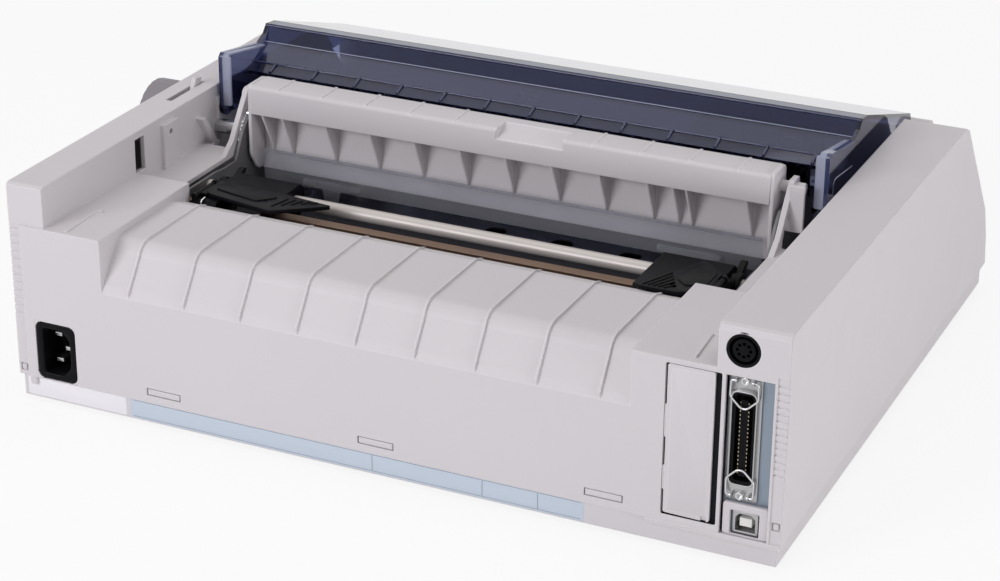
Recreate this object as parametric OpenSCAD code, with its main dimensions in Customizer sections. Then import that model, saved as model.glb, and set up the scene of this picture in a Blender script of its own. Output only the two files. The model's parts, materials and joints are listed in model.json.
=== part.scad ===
// Desktop dot matrix printer with a push tractor, in millimetres.
// The table is z = 0. X runs along the paper's width, +X towards the platen knob,
// +Y is the rear and +Z is up. Most places are given the way a fitter would measure
// them: "across" from the knob side wall, "in" from the rear face and "up" from the table.

/* [Case] */
// Width of the case over its side walls
case_w = 398; // [392:1:410]
// Depth of the case
case_d = 345; // [340:1:360]
// Height of the side towers above the table
tower_h = 116; // [114:0.5:120]
// Wall of the case mouldings
wall = 2.5; // [2:0.1:3]
// Width of the tower on the knob side
knob_tower_w = 20; // [18:0.5:21]
// Width of the tower on the connector side
far_tower_w = 33; // [32:0.5:36]
// Width of the shelf beside the knob side tower
knob_shelf_w = 29.3; // [28:0.1:31]
// Length of the flat top of the towers
tower_run = 276; // [270:1:282]
// Height of the shelves
shelf_h = 95; // [94:0.5:97]
// Depth of the shelves
shelf_d = 83; // [80:1:86]
// Height of the sunk decks in front of the shelves
deck_h = 88; // [86:0.5:90]
// Where the sunk decks end
deck_end = 150; // [146:1:152]
// Height of the base tray's rim
base_rim_h = 14; // [13.5:0.5:15.5]
// Step from the case wall in to the base tray
base_inset = 2; // [1:0.5:3]
// Height of the rubber feet
foot_h = 2.5; // [2:0.5:3]
// Radius of the rubber feet
foot_r = 9; // [7:0.5:11]
// Radius of the shank of the case screws
case_screw_r = 1.8; // [1.5:0.1:2]

/* [Paper chute] */
// Width of the chute
chute_w = 278.5; // [276:0.5:282]
// Height of the chute's flat top
chute_h = 91; // [90:0.5:92]
// Height of the crease at the foot of the chute
crease_h = 67.5; // [64:0.5:72]
// Where the flat top of the chute ends
chute_run = 66; // [60:1:66]
// Number of guide ribs on the chute
chute_ribs = 9; // [5:1:11]
// Distance between the guide ribs
chute_rib_pitch = 30.5; // [24:0.5:31]
// Width and height of a guide rib
rib_w = 1.2; // [1:0.1:2]

/* [Paper feed] */
// Knob shaft in from the rear face
knob_in = 165.5; // [165:0.5:166.5]
// Knob shaft above the table
knob_up = 93; // [92.5:0.5:93.5]
// Radius of the platen knob
knob_r = 20; // [19:0.5:22]
// How far the knob reaches out of the case
knob_reach = 18.5; // [10:0.5:20]
// Platen axis above the table
platen_up = 88; // [87.5:0.5:88.5]
// Radius of the platen's rubber
platen_r = 13.5; // [12:0.25:13.5]
// Length of the platen's rubber
platen_len = 272; // [260:1:274]
// Radius of the platen and knob shafts
platen_shaft_r = 4; // [3.5:0.25:4.25]
// Tractor drive shaft in from the rear face
drive_in = 95; // [94.5:0.5:95.5]
// Tractor drive shaft above the table
drive_up = 78.5; // [78.3:0.1:78.7]
// Width of the square drive shaft across its flats
drive_flat = 6; // [5:0.25:6]
// Tractor support rod in from the rear face
rail_in = 116; // [115.5:0.5:116.5]
// Radius of the tractor support rod
rail_r = 3.5; // [3:0.25:3.75]
// Tooth size of the feed gears, as pitch diameter over teeth
gear_module = 0.8; // [0.8:0.1:0.8]
// Teeth of the gear on the knob shaft
knob_teeth = 24; // [23:1:24]
// Teeth of the platen gear
platen_teeth = 24; // [24:1:25]
// Teeth of the feed idler
idler_teeth = 36; // [34:1:36]
// Height of the feed idler
idler_up = 69.5; // [69:0.5:70]
// Teeth of the feed motor's pinion
pinion_teeth = 16; // [15:1:16]
// Width of the gears
gear_w = 4.2; // [3.6:0.1:4.2]
// Radius of the belt pulley on the motor
motor_pulley_r = 6.1; // [5.6:0.1:6.2]
// Radius of the belt pulley on the drive shaft
drive_pulley_r = 4.8; // [4.6:0.1:4.9]
// Width of the feed belt
feed_belt_w = 4; // [3:0.2:4.2]
// Radius of the feed motor
feed_motor_r = 16; // [14:0.5:16]
// Length of the feed motor
feed_motor_len = 21; // [18:1:22]

/* [Tractors] */
// Width of a tractor's body
tractor_w = 40; // [38:1:40]
// Top of a closed tractor lid
lid_top = 90; // [89.8:0.1:90.2]
// Thickness of a tractor lid
lid_t = 2; // [1.6:0.1:2]
// Knob side tractor, across to its outer side
near_tractor_at = 54; // [53:0.5:56]
// Other tractor, across to its outer side
far_tractor_at = 333; // [331:0.5:333.5]
// Sprocket radius at the foot of the pins
sprocket_r = 6; // [5.8:0.1:6.2]

/* [Separator] */
// Rear face of the separator, in from the rear face of the case
separator_in = 154; // [153.5:0.5:154.5]
// Top of the separator above the table
separator_top = 122.8; // [122:0.2:123.6]
// Width of the separator
separator_w = 287; // [284:1:287]
// Depth of the separator's top bar
separator_d = 19.5; // [18:0.5:20]
// Height of the rear face of the top bar
separator_face = 15.5; // [14:0.5:16]
// Distance between the separator's ribs
separator_pitch = 25.4; // [24.6:0.2:25.4]
// Lower edge of the clear film
film_low = 69; // [68.5:0.5:72]
// Upper edge of the clear film
film_high = 86; // [85:0.5:87]

/* [Access cover] */
// Outer width of the smoky cover
cover_w = 338; // [336:0.5:338.5]
// Thickness of the smoky cover
cover_t = 2.2; // [1.8:0.1:2.4]
// Height of the cover's ridge
ridge_h = 135.5; // [134.5:0.5:137]
// Height of the cover's front edge
front_edge_h = 108; // [107.5:0.5:109]
// Cover hinge in from the rear face
hinge_in = 170.5; // [170:0.5:171]
// Cover hinge above the table
hinge_up = 103.5; // [103:0.5:104]
// Radius of the cover's hinge pegs
hinge_r = 2.5; // [2:0.25:2.75]

/* [Print mechanism] */
// Thickness of the steel side frames
frame_t = 1.6; // [1.2:0.1:1.6]
// Distance between the side frames
frame_span = 294; // [293:0.5:295]
// Height of the steel pan's top face
pan_h = 27; // [25:0.2:28]
// Carriage shaft in from the rear face
carriage_in = 236; // [235:0.5:237]
// Carriage shaft above the table
carriage_up = 64; // [63:0.5:65]
// Radius of the carriage shaft
carriage_shaft_r = 5; // [4:0.25:5.5]
// Front guide rod in from the rear face
guide_in = 268; // [267:0.5:269]
// Radius of the front guide rod
guide_r = 3.5; // [3:0.25:3.75]
// Width of the carriage
carriage_w = 70; // [64:1:72]
// Travel of the carriage
carriage_travel = 206; // [180:1:208]
// Radius of the carriage belt's pulleys
pulley_r = 6; // [5.5:0.25:6.25]
// Radius of the carriage motor
space_motor_r = 17; // [15:0.5:17]

/* [Rear connectors] */
// Width of the mains inlet
inlet_w = 23; // [20:0.5:24]
// Height of the mains inlet
inlet_h = 31; // [28:0.5:32]
// Length of the parallel port's flange
parallel_h = 62; // [58:1:64]
// Width of the parallel port's flange
parallel_w = 15.5; // [14:0.5:16]
// Contacts in each row of the parallel port
parallel_contacts_n = 18; // [12:1:18]
// Width of the square data port
usb_w = 12; // [11:0.25:12.5]
// Height of the square data port
usb_h = 10.9; // [10:0.1:11.5]
// Radius of the round port
round_port_r = 7.6; // [7:0.1:8]
// Thickness of the wire bails
bail_wire_r = 0.7; // [0.5:0.1:0.9]

/* [Fits] */
// Radial clearance of shafts in their bores
running = 0.05; // [0.02:0.01:0.1]
// Clearance round pieces that slide or drop in
loose = 0.3; // [0.2:0.05:0.4]
// Gear backlash along the pitch line
backlash = 0.3; // [0.2:0.05:0.4]

/* [Hidden] */

x_knob = (case_w + knob_reach) / 2 - knob_reach;
rear = case_d / 2;
round_fn = 48;
base_bottom = foot_h;
u_far_tower = case_w - far_tower_w;
u_chute = knob_tower_w + knob_shelf_w;
u_far_shelf = u_chute + chute_w;
u_mid = u_chute + chute_w / 2 + 2;
u_near_frame = u_mid - frame_span / 2;
u_far_frame = u_mid + frame_span / 2;

// --- helpers: u across from the knob side wall, v in from the rear face, z up ---

module slab(a, b) {
  translate([x_knob - b[0], rear - b[1], a[2]])
    cube([b[0] - a[0], b[1] - a[1], b[2] - a[2]]);
}

// extrudes a (v, z) outline across the printer
module along_x(u0, u1) {
  translate([x_knob - u0, rear, 0]) rotate([90, 0, -90])
    linear_extrude(height = u1 - u0) children();
}

// extrudes a (u, z) outline from front to rear
module along_y(v0, v1) {
  translate([x_knob, rear - v1, 0]) rotate([90, 0, 180])
    linear_extrude(height = v1 - v0) children();
}

// extrudes a (u, v) outline upwards
module along_z(z0, z1) {
  translate([x_knob, rear, z0]) rotate([0, 0, 180])
    linear_extrude(height = z1 - z0) children();
}

module rod_x(u0, u1, v, z, r) {
  along_x(u0, u1) translate([v, z]) circle(r = r, $fn = round_fn);
}

module rod_y(v0, v1, u, z, r) {
  along_y(v0, v1) translate([u, z]) circle(r = r, $fn = round_fn);
}

module rod_z(z0, z1, u, v, r) {
  along_z(z0, z1) translate([u, v]) circle(r = r, $fn = round_fn);
}

module box2(a, b) {
  translate(a) square([b[0] - a[0], b[1] - a[1]]);
}

module rounded2(w, h, r) {
  union() {
    square([w - 2 * r, h], center = true);
    square([w, h - 2 * r], center = true);
    for (x = [-1, 1]) for (y = [-1, 1])
      translate([x * (w / 2 - r), y * (h / 2 - r)]) circle(r = r, $fn = 24);
  }
}

// --- gears ---

function involute(rb, t) = [rb * (cos(t) + t * PI / 180 * sin(t)),
                            rb * (sin(t) - t * PI / 180 * cos(t))];
function turned(p, a) = [p[0] * cos(a) - p[1] * sin(a), p[0] * sin(a) + p[1] * cos(a)];
function roll_at(rb, r) = r <= rb ? 0 : sqrt(r * r / (rb * rb) - 1) * 180 / PI;
function pitch_r(teeth) = gear_module * teeth / 2;

// outline of a gear with a tooth centred on angle 0
function gear_points(teeth) =
  let (rp = pitch_r(teeth), rb = rp * cos(20), ro = rp + 0.9 * gear_module,
       ri = rp - 1.2 * gear_module, tp = roll_at(rb, rp), pp = involute(rb, tp),
       lean = atan2(pp[1], pp[0]),
       half = 90 / teeth - backlash / 2 / rp * 180 / PI / 2,
       rolls = [for (k = [0 : 3]) roll_at(rb, max(rb, ri) + (ro - max(rb, ri)) * k / 3)])
  [for (i = [0 : teeth - 1]) let (a = i * 360 / teeth) each concat(
    [turned([ri, 0], a - half - lean - 0.4)],
    [for (t = rolls) turned(involute(rb, t), a - half - lean)],
    [for (k = [3 : -1 : 0]) let (p = involute(rb, rolls[k]))
      turned([p[0], -p[1]], a + half + lean)],
    [turned([ri, 0], a + half + lean + 0.4)])];

// angle of a follower's tooth so that it meshes with a driver whose tooth is at angle d
function mesh_angle(dir, d, driver, follower) =
  dir + 180 + ((dir - d) * driver / 360 - 0.5) * 360 / follower;

module gear(u0, at, teeth, turn, bore) {
  along_x(u0, u0 + gear_w) translate(at) difference() {
    rotate(turn) polygon(gear_points(teeth));
    circle(r = bore, $fn = round_fn);
  }
}

function bearing(a, b) = atan2(b[1] - a[1], b[0] - a[0]);

function train(a, b) = gear_module * (a + b) / 2;

knob_at = [knob_in, knob_up];
drive_at = [drive_in, drive_up];
platen_at = [knob_in + sqrt(pow(train(knob_teeth, platen_teeth), 2)
  - pow(knob_up - platen_up, 2)), platen_up];
feed_idler_at = [knob_in - sqrt(pow(train(knob_teeth, idler_teeth), 2)
  - pow(knob_up - idler_up, 2)), idler_up];
pinion_at = feed_idler_at + train(idler_teeth, pinion_teeth) * [-cos(30), -sin(30)];
platen_turn = mesh_angle(bearing(knob_at, platen_at), 0, knob_teeth, platen_teeth);
feed_idler_turn = mesh_angle(bearing(knob_at, feed_idler_at), 0, knob_teeth, idler_teeth);
pinion_turn = mesh_angle(bearing(feed_idler_at, pinion_at), feed_idler_turn,
  idler_teeth, pinion_teeth);
idler_pin_r = 2.5;
belt_t = 1;
u_gears = u_near_frame - frame_t - 0.5 - gear_w;
u_feed_belt = u_gears - 0.8 - feed_belt_w;
rail_up = drive_up + 1.5;
guide_up = carriage_up - 4;
print_in = platen_at[0] + platen_r;
belt_in = guide_in + 20;
u_belt0 = u_near_frame + 22;
u_belt1 = u_far_frame - 22;
belt_up = 64;

// --- case outlines, as (v, z) points ---

tower_side = [[0, base_rim_h], [0, tower_h - 3], [0.9, tower_h - 0.9], [3, tower_h],
  [tower_run, tower_h], [tower_run + 6, tower_h - 3], [case_d - 11, 50],
  [case_d - 4, 32], [case_d, base_rim_h]];

function inner_side(t) = [[t, base_rim_h - 1], [t, tower_h - 3 - t * 0.3],
  [3 + t * 0.3, tower_h - t], [tower_run - t * 0.4, tower_h - t],
  [tower_run + 6 - t, tower_h - 3 - t * 0.7], [case_d - 11 - t, 50 - t * 0.4],
  [case_d - 4 - t, 32 - t * 0.3], [case_d - t, base_rim_h - 1]];

function chute_line(t) = concat([[t, base_rim_h], [t, crease_h - t * 0.3],
  [2 + t, crease_h + 4]],
  [for (a = [20 : 14 : 90]) [20 - (9 - t) * cos(a), chute_h - 9 + (9 - t) * sin(a)]],
  [[chute_run, chute_h - t], [chute_run + 7, chute_h - 2.4 - t],
    [chute_run + 13, chute_h - 4.8 - t]]);
function flipped(p) = [for (i = [len(p) - 1 : -1 : 0]) p[i]];

brow_in = case_d - 36;
brow_face_low = [case_d - 5, 52];
brow_face_high = [case_d - 17, 94];
brow_side = [[brow_in, 99], [brow_in + 9, 101], [brow_in + 15, 99.5], brow_face_high, brow_face_low,
  [case_d - 2, 32], [case_d, base_rim_h]];
function brow_inner(t) = [[brow_in + t, 60], [brow_in + t, 99 - t], [brow_in + 9, 101 - t],
  [brow_in + 13, 99.5 - t], brow_face_high - [t, t * 0.5], brow_face_low - [t, 0],
  [case_d - 2 - t, 32], [case_d - t, base_rim_h - 1]];
pan_end = brow_in - 1;
face_slope = bearing(brow_face_high, brow_face_low);
// a point s down the sloping front face and out from it
function on_face(s, out) = brow_face_high + s * [cos(face_slope), sin(face_slope)]
  + out * [-sin(face_slope), cos(face_slope)];

far_shelf_d = shelf_d - 4;
strip_w = 6;
u_slot0 = u_far_shelf + 13.7;
u_slot1 = u_far_tower + 2.4;
u_plate1 = case_w - 6.5;
port_low = base_rim_h + 0.5;
port_high = 92.5;
plate_in = 4;
u_parallel = u_far_tower + 12.5;
z_parallel = 62;
u_usb = u_parallel + 3;
z_usb = 20.5;
u_round_port = u_parallel - 1;
z_round_port = 105;
u_inlet = 23.2;
z_inlet = 30;
separator_pivot = [separator_in + 14, separator_top - 9.8];
peg_r = 3;
u_sep0 = u_mid - separator_w / 2;
u_sep1 = u_mid + separator_w / 2;
u_cover0 = u_mid - cover_w / 2;
u_cover1 = u_mid + cover_w / 2;
u_deck0 = u_gears + gear_w - 0.6;
u_deck1 = u_far_frame + frame_t + 1.2;
switch_at = [306, 38];
switch_half = [6, 10];
button_u = [40, 64, 88];
button_w = 16;
button_h = 9;
button_s = 16;
panel_u0 = 26;
panel_u1 = 136;
lever_at = [150, 100];
lever_u = 10.5;
screw_places = [[10, 16], [case_w - 10, 40], [10, case_d - 22], [case_w - 10, case_d - 22]];
u_brackets = [[u_deck0 - 2.8, u_deck0], [u_deck1, u_deck1 + 2.8]];

module face_block(u0, u1, s0, s1, out0, out1) {
  along_x(u0, u1) polygon([on_face(s0, out0), on_face(s1, out0), on_face(s1, out1),
    on_face(s0, out1)]);
}

module chute_rib(u) {
  along_x(u - rib_w / 2, u + rib_w / 2) polygon(concat(
    [[0.2, crease_h - 2], [0, crease_h + 3.5]],
    [for (a = [20 : 14 : 90]) [20 - (9 + rib_w) * cos(a), chute_h - 9 + (9 + rib_w) * sin(a)]],
    [[chute_run + 0.5, chute_h + rib_w * 0.7], [chute_run + 8, chute_h - 1.8],
      [chute_run, chute_h - 1], [20, chute_h - 1], [12, chute_h - 6], [3, crease_h]]));
}

module upper_case_shell() {
  // the two towers
  for (s = [[0, knob_tower_w], [u_far_tower, case_w]]) difference() {
    along_x(s[0], s[1]) polygon(tower_side);
    along_x(s[0] + wall, s[1] - wall) polygon(inner_side(wall));
  }
  // shelves beside the chute
  for (s = [[knob_tower_w - wall, u_chute + wall, shelf_d],
      [u_far_shelf - wall, u_far_tower + wall, far_shelf_d]]) {
    slab([s[0], 0, shelf_h - wall], [s[1], s[2], shelf_h]);
    slab([s[0], 0, base_rim_h], [s[1], wall, shelf_h]);
    slab([s[0], s[2] - wall, deck_h - wall], [s[1], s[2], shelf_h]);
  }
  slab([u_chute, 0, base_rim_h], [u_chute + wall, shelf_d, shelf_h]);
  slab([u_far_shelf - wall, 0, base_rim_h], [u_far_shelf, far_shelf_d, shelf_h]);
  // ribbed chute
  along_x(u_chute, u_far_shelf) polygon(concat(chute_line(0), flipped(chute_line(wall))));
  for (k = [0 : chute_ribs - 1])
    chute_rib(u_chute + chute_w / 2 + (k - (chute_ribs - 1) / 2) * chute_rib_pitch);
  // sunk decks in front of the shelves
  slab([knob_tower_w - wall, shelf_d - wall, deck_h - wall], [u_deck0, deck_end, deck_h]);
  slab([u_deck1, far_shelf_d - wall, deck_h - wall],
    [u_far_tower + wall, deck_end, deck_h]);
  // brow in front of the cover
  difference() {
    along_x(knob_tower_w - wall, u_far_tower + wall)
      polygon(concat([[brow_in, 60]], brow_side, [[brow_in, base_rim_h]]));
    along_x(knob_tower_w - wall - 1, u_far_tower + wall + 1)
      polygon(concat(brow_inner(wall), [[brow_in - 9, base_rim_h - 1], [brow_in - 9, 60]]));
  }
  // brackets that carry the separator's pegs
  for (s = u_brackets) {
    along_x(s[0], s[1]) polygon([[deck_end - 14, deck_h - 1], [deck_end, deck_h - 1],
      [deck_end, deck_h + 4], [deck_end + 5, deck_h + 14], separator_pivot + [-6, -7],
      separator_pivot + [4, -7],
      separator_pivot + [5.4, 0], separator_pivot + [3.4, 5], separator_pivot + [-4.4, 5],
      [deck_end - 4, deck_h + 6]]);
  }
  // shield plate on the far bracket
  slab([u_brackets[1][1] - 0.5, separator_in + 4, deck_h + 6],
    [u_brackets[1][1] + 7, separator_in + 6, separator_top - 5]);
  slab([u_brackets[1][0], separator_in + 4, deck_h + 6],
    [u_brackets[1][1], separator_in + 9, deck_h + 14]);
  // bosses that carry the cover's hinge pegs
  slab([knob_tower_w - wall, hinge_in - 6, hinge_up - 8],
    [u_cover0 - loose, hinge_in + 6, hinge_up + 5.5]);
  slab([u_cover1 + loose, hinge_in - 6, hinge_up - 8],
    [u_far_tower + wall, hinge_in + 6, hinge_up + 5.5]);
  // clip and rib on the inner face of the knob side tower
  slab([knob_tower_w - 1, 108, deck_h], [knob_tower_w + 2.5, 122, 112]);
  along_x(knob_tower_w - 1, knob_tower_w + 4)
    polygon([[143, 104], [147, 104], [159, 86], [155, 86]]);
  slab([knob_tower_w - wall, 152, 84], [knob_tower_w + 4, 160, 87]);
  // ribs on the inner face of the far tower
  slab([u_far_tower - 4, 118, deck_h], [u_far_tower + 1, 150, 108]);
  // posts for the case screws, tied to the side walls
  for (p = screw_places) {
    rod_z(base_rim_h - 6, 40, p[0], p[1], 4.5);
    slab([p[0] < u_mid ? wall / 2 : p[0], p[1] - 1, base_rim_h],
      [p[0] < u_mid ? p[0] : case_w - wall / 2, p[1] + 1, 39]);
  }
  // bearing of the paper lever inside the knob side tower
  slab([lever_u + 2, lever_at[0] - 5, lever_at[1] - 5],
    [knob_tower_w - wall + 0.5, lever_at[0] + 5, lever_at[1] + 5]);
}

module upper_case() {
  color([0.80, 0.79, 0.77]) difference() {
    upper_case_shell();
    // towers open below into the machine
    slab([knob_tower_w - wall - 0.1, wall, base_rim_h - 7], [knob_tower_w + 0.1, brow_in - 3, 60]);
    slab([u_far_tower - 0.1, wall, base_rim_h - 7], [u_far_tower + wall + 0.1, brow_in - 3, 60]);
    slab([knob_tower_w - wall - 0.1, wall, 50],
      [knob_tower_w + 0.1, shelf_d - wall, shelf_h - wall]);
    slab([u_far_tower - 0.1, wall, 50],
      [u_far_tower + wall + 0.1, shelf_d - wall, shelf_h - wall]);
    // knob shaft through both walls of the tower
    rod_x(-1, wall + 1, knob_in, knob_up, platen_shaft_r + 1);
    rod_x(wall + 2, u_cover0 + 1, knob_in, knob_up, platen_shaft_r + running);
    // hinge pegs of the cover
    rod_x(u_cover0 - loose - 3, u_cover0 + 1, hinge_in, hinge_up, hinge_r + running);
    rod_x(u_cover1 - 1, u_cover1 + loose + 3, hinge_in, hinge_up, hinge_r + running);
    // pegs of the separator
    for (s = u_brackets)
      rod_x(s[0] - 1, s[1] + 1, separator_pivot[0], separator_pivot[1], peg_r + running);
    // slot and pin hole of the paper lever
    slab([lever_u - 2, lever_at[0] - 17, tower_h - wall - 1],
      [lever_u + 1.5, lever_at[0] + 17, tower_h + 1]);
    rod_x(lever_u + 1.5, knob_tower_w - wall, lever_at[0], lever_at[1], 2 + running);
    // windows in the knob side tower's inner wall
    slab([knob_tower_w - wall - 1, 84, 94], [knob_tower_w + 1, 93, 112]);
    rod_x(knob_tower_w - 2, knob_tower_w + 4, 115, 107, 1.6);
    slab([u_far_tower - 1, 100, 94], [u_far_tower + wall + 1, 112, 106]);
    // grip lines over the ports and on the knob side rear corner
    slab([u_plate1 + 1.2, -1, base_rim_h - 1], [case_w + 1, 0.7, port_high + 3]);
    for (k = [0 : 13])
      slab([u_plate1 + 1.2, -1, 48 + k * 3.3], [case_w + 1, 1.2, 49.1 + k * 3.3]);
    slab([-1, -1, base_rim_h - 1], [strip_w, 0.9, shelf_h + 1]);
    slab([-1, -1, shelf_h], [knob_tower_w + 1, 0.9, tower_h + 1]);
    for (k = [0 : 11]) slab([-1, -1, 47 + k * 4.1], [strip_w, 1.4, 48.2 + k * 4.1]);
    // port recess, option slot and the openings behind them
    slab([u_slot0, -1, port_low], [u_plate1, 1.8, port_high]);
    slab([u_slot0 + 1.5, -1, port_low + 3], [u_slot1 - 1.5, wall + 1, port_high - 3]);
    slab([u_slot1 + 1.6, -1, base_rim_h - 1], [u_plate1, 14, port_high]);
    rod_y(-1, 12, u_round_port, z_round_port, round_port_r + loose);
    slab([u_far_tower - 1, wall, z_round_port - 11],
      [u_round_port + round_port_r + 2, 18, z_round_port + 7]);
    // mains inlet
    slab([u_inlet - inlet_w / 2, -1, z_inlet - inlet_h / 2],
      [u_inlet + inlet_w / 2, 30, z_inlet + inlet_h / 2]);
    // windows of the rear snap hooks
    for (u = [84, 199, 314])
      difference() {
        slab([u - 9.5, -1, base_rim_h + 4], [u + 9.5, 1.6, base_rim_h + 8]);
        slab([u - 8.8, 0.2, base_rim_h + 4.6], [u + 8.8, 2, base_rim_h + 7.4]);
      }
    for (s = [[1.2, 16], [u_plate1 + 1.8, 21]]) difference() {
      slab([s[0], -1, s[1]], [s[0] + 4, 1.8, s[1] + 4.2]);
      slab([s[0] + 0.8, 0.9, s[1] + 0.8], [s[0] + 3.2, 2.5, s[1] + 3.4]);
    }
    // control panel seat and buttons through the sloping face
    face_block(panel_u0 - loose, panel_u1 + loose, 4 - loose, 30 + loose, -0.9, 2);
    for (u = button_u)
      face_block(u - button_w / 2 - loose, u + button_w / 2 + loose,
        button_s - button_h / 2 - loose, button_s + button_h / 2 + loose, -8, 3);
    // rocker of the power switch
    slab([-1, switch_at[0] - switch_half[0] - loose, switch_at[1] - switch_half[1] - loose],
      [wall + 1, switch_at[0] + switch_half[0] + loose, switch_at[1] + switch_half[1] + loose]);
    // screw holes
    for (p = screw_places) rod_z(base_rim_h - 7, 36, p[0], p[1], case_screw_r);
  }
}

module lower_case() {
  b = base_inset;
  color([0.79, 0.78, 0.76]) difference() {
    union() {
      difference() {
        slab([b, b, base_bottom], [case_w - b, case_d - b, base_rim_h]);
        slab([b + wall, b + wall, base_bottom + wall],
          [case_w - b - wall, case_d - b - wall, base_rim_h + 1]);
      }
      // sockets of the case screws
      for (p = screw_places) rod_z(base_bottom, base_rim_h - 6, p[0], p[1], 5.5);
      // posts under the steel pan
      for (u = [u_near_frame + 8, u_far_frame - 8]) for (v = [112, 300])
        rod_z(base_bottom + wall - 0.1, pan_h - 1.2, u, v, 4);
      // posts under the main board and the power supply
      for (u = [76, 310]) for (v = [150, 270])
        rod_z(base_bottom + wall - 0.1, 12, u, v, 3);
      for (u = [50, 140]) for (v = [36, 64])
        rod_z(base_bottom + wall - 0.1, 12, u, v, 3);
    }
    for (p = screw_places) {
      rod_z(base_bottom - 1, base_rim_h, p[0], p[1], case_screw_r + 0.2);
      rod_z(base_bottom - 1, base_bottom + 2.6, p[0], p[1], 3.6);
    }
    for (p = screw_places) rod_z(base_rim_h - 6, base_rim_h + 1, p[0], p[1], 4.5 + loose);
  }
}

module rubber_feet() {
  color([0.15, 0.15, 0.16]) for (u = [30, case_w - 30]) for (v = [34, case_d - 34])
    union() {
      rod_z(0.6, foot_h, u, v, foot_r);
      rod_z(0, 0.6, u, v, foot_r - 0.8);
    }
}

module case_screws() {
  color([0.55, 0.55, 0.57]) for (p = screw_places) difference() {
    union() {
      rod_z(base_bottom + 0.6, base_bottom + 2.6, p[0], p[1], 3.2);
      rod_z(base_bottom + 2.5, 30, p[0], p[1], case_screw_r - running);
    }
    slab([p[0] - 2, p[1] - 0.4, base_bottom - 1], [p[0] + 2, p[1] + 0.4, base_bottom + 1.6]);
    slab([p[0] - 0.4, p[1] - 2, base_bottom - 1], [p[0] + 0.4, p[1] + 2, base_bottom + 1.6]);
  }
}

module option_card_cover() {
  color([0.80, 0.79, 0.77]) difference() {
    union() {
      slab([u_slot0 + loose, 0.3, port_low + loose], [u_slot1, 1.8, port_high - loose]);
      slab([u_slot0 + 1.5 + loose, 1.7, port_low + 3 + loose],
        [u_slot1 - 1.5 - loose, wall + 1.5, port_high - 3 - loose]);
    }
    slab([u_slot0 + 4, 2.6, port_low + 6], [u_slot1 - 4, wall + 3, port_high - 6]);
    slab([u_slot1 - 6, -1, port_low + 2], [u_slot1 - 3.5, wall + 3, port_low + 8]);
  }
}

module interface_plate() {
  color([0.52, 0.57, 0.62]) difference() {
    slab([u_slot1 + 2, plate_in, base_rim_h + 0.3], [u_plate1, plate_in + 1.2, port_high]);
    slab([u_parallel - 5.6, plate_in - 1, z_parallel - parallel_h / 2 + 5],
      [u_parallel + 5.6, plate_in + 2, z_parallel + parallel_h / 2 - 5]);
    slab([u_usb - usb_w / 2 - loose, plate_in - 1, z_usb - usb_h / 2 + 0.9],
      [u_usb + usb_w / 2 + loose, plate_in + 2, z_usb + usb_h / 2 + loose]);
    slab([u_usb - usb_w / 2 - loose, plate_in - 1, base_rim_h - 1],
      [u_usb + usb_w / 2 + loose, plate_in + 2, z_usb]);
  }
}

module parallel_shell() {
  w = parallel_w;
  color([0.78, 0.77, 0.74]) difference() {
    union() {
      slab([u_parallel - w / 2, plate_in - 1, z_parallel - parallel_h / 2],
        [u_parallel + w / 2, plate_in, z_parallel + parallel_h / 2]);
      along_y(2.2, plate_in - 0.5) translate([u_parallel, z_parallel])
        rounded2(12, parallel_h - 16, 3);
      // ears for the bails
      for (s = [-1, 1]) for (q = [-1, 1])
        slab([u_parallel + q * 4 - 0.6, 0.2, z_parallel + s * (parallel_h / 2 - 3) - 1.6],
          [u_parallel + q * 4 + 0.6, plate_in - 0.5,
            z_parallel + s * (parallel_h / 2 - 3) + 1.6]);
    }
    along_y(-1, plate_in + 1) translate([u_parallel, z_parallel])
      rounded2(10.8, parallel_h - 17.2, 2.4);
    for (s = [-1, 1])
      rod_x(u_parallel - 8, u_parallel + 8, 1.2, z_parallel + s * (parallel_h / 2 - 3),
        bail_wire_r + running);
  }
}

module parallel_insulator() {
  color([0.09, 0.09, 0.10]) difference() {
    along_y(2.4, plate_in + 8) translate([u_parallel, z_parallel])
      rounded2(10.8 - 2 * running, parallel_h - 17.2 - 2 * running, 2.4 - running);
    difference() {
      along_y(2, plate_in + 3) translate([u_parallel, z_parallel])
        rounded2(8, parallel_h - 20, 1.5);
      slab([u_parallel - 1.6, 1, z_parallel - parallel_h / 2 + 12.5],
        [u_parallel + 1.6, plate_in + 4, z_parallel + parallel_h / 2 - 12.5]);
    }
  }
}

module parallel_contacts() {
  pitch = (parallel_h - 28) / (parallel_contacts_n - 1);
  color([0.85, 0.68, 0.32]) for (k = [0 : parallel_contacts_n - 1]) for (s = [-1, 1])
    slab([u_parallel + s * 1.85 - 0.25, 2.7,
        z_parallel + (k - (parallel_contacts_n - 1) / 2) * pitch - 0.45],
      [u_parallel + s * 1.85 + 0.25, plate_in + 3,
        z_parallel + (k - (parallel_contacts_n - 1) / 2) * pitch + 0.45]);
}

// wire bail in the plane of the port: two pins and a pointed loop
module bail(z, s) {
  r = bail_wire_r;
  color([0.80, 0.80, 0.80]) union() {
    along_y(1.2 - r, 1.2 + r) translate([u_parallel, z]) scale(s) difference() {
      polygon([[-7.2, -r], [-7.2, 8.3], [-2, 13.7], [2, 13.7], [7.2, 8.3], [7.2, -r]]);
      polygon([[-5.8, -2], [-5.8, 7.7], [-1.4, 12.3], [1.4, 12.3], [5.8, 7.7], [5.8, -2]]);
    }
    for (q = [-1, 1])
      rod_x(u_parallel + q * 5 - 1.8, u_parallel + q * 5 + 1.8, 1.2, z, r);
  }
}

module upper_bail() {
  bail(z_parallel + parallel_h / 2 - 3, -1);
}

module lower_bail() {
  bail(z_parallel - parallel_h / 2 + 3, 1);
}

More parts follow.
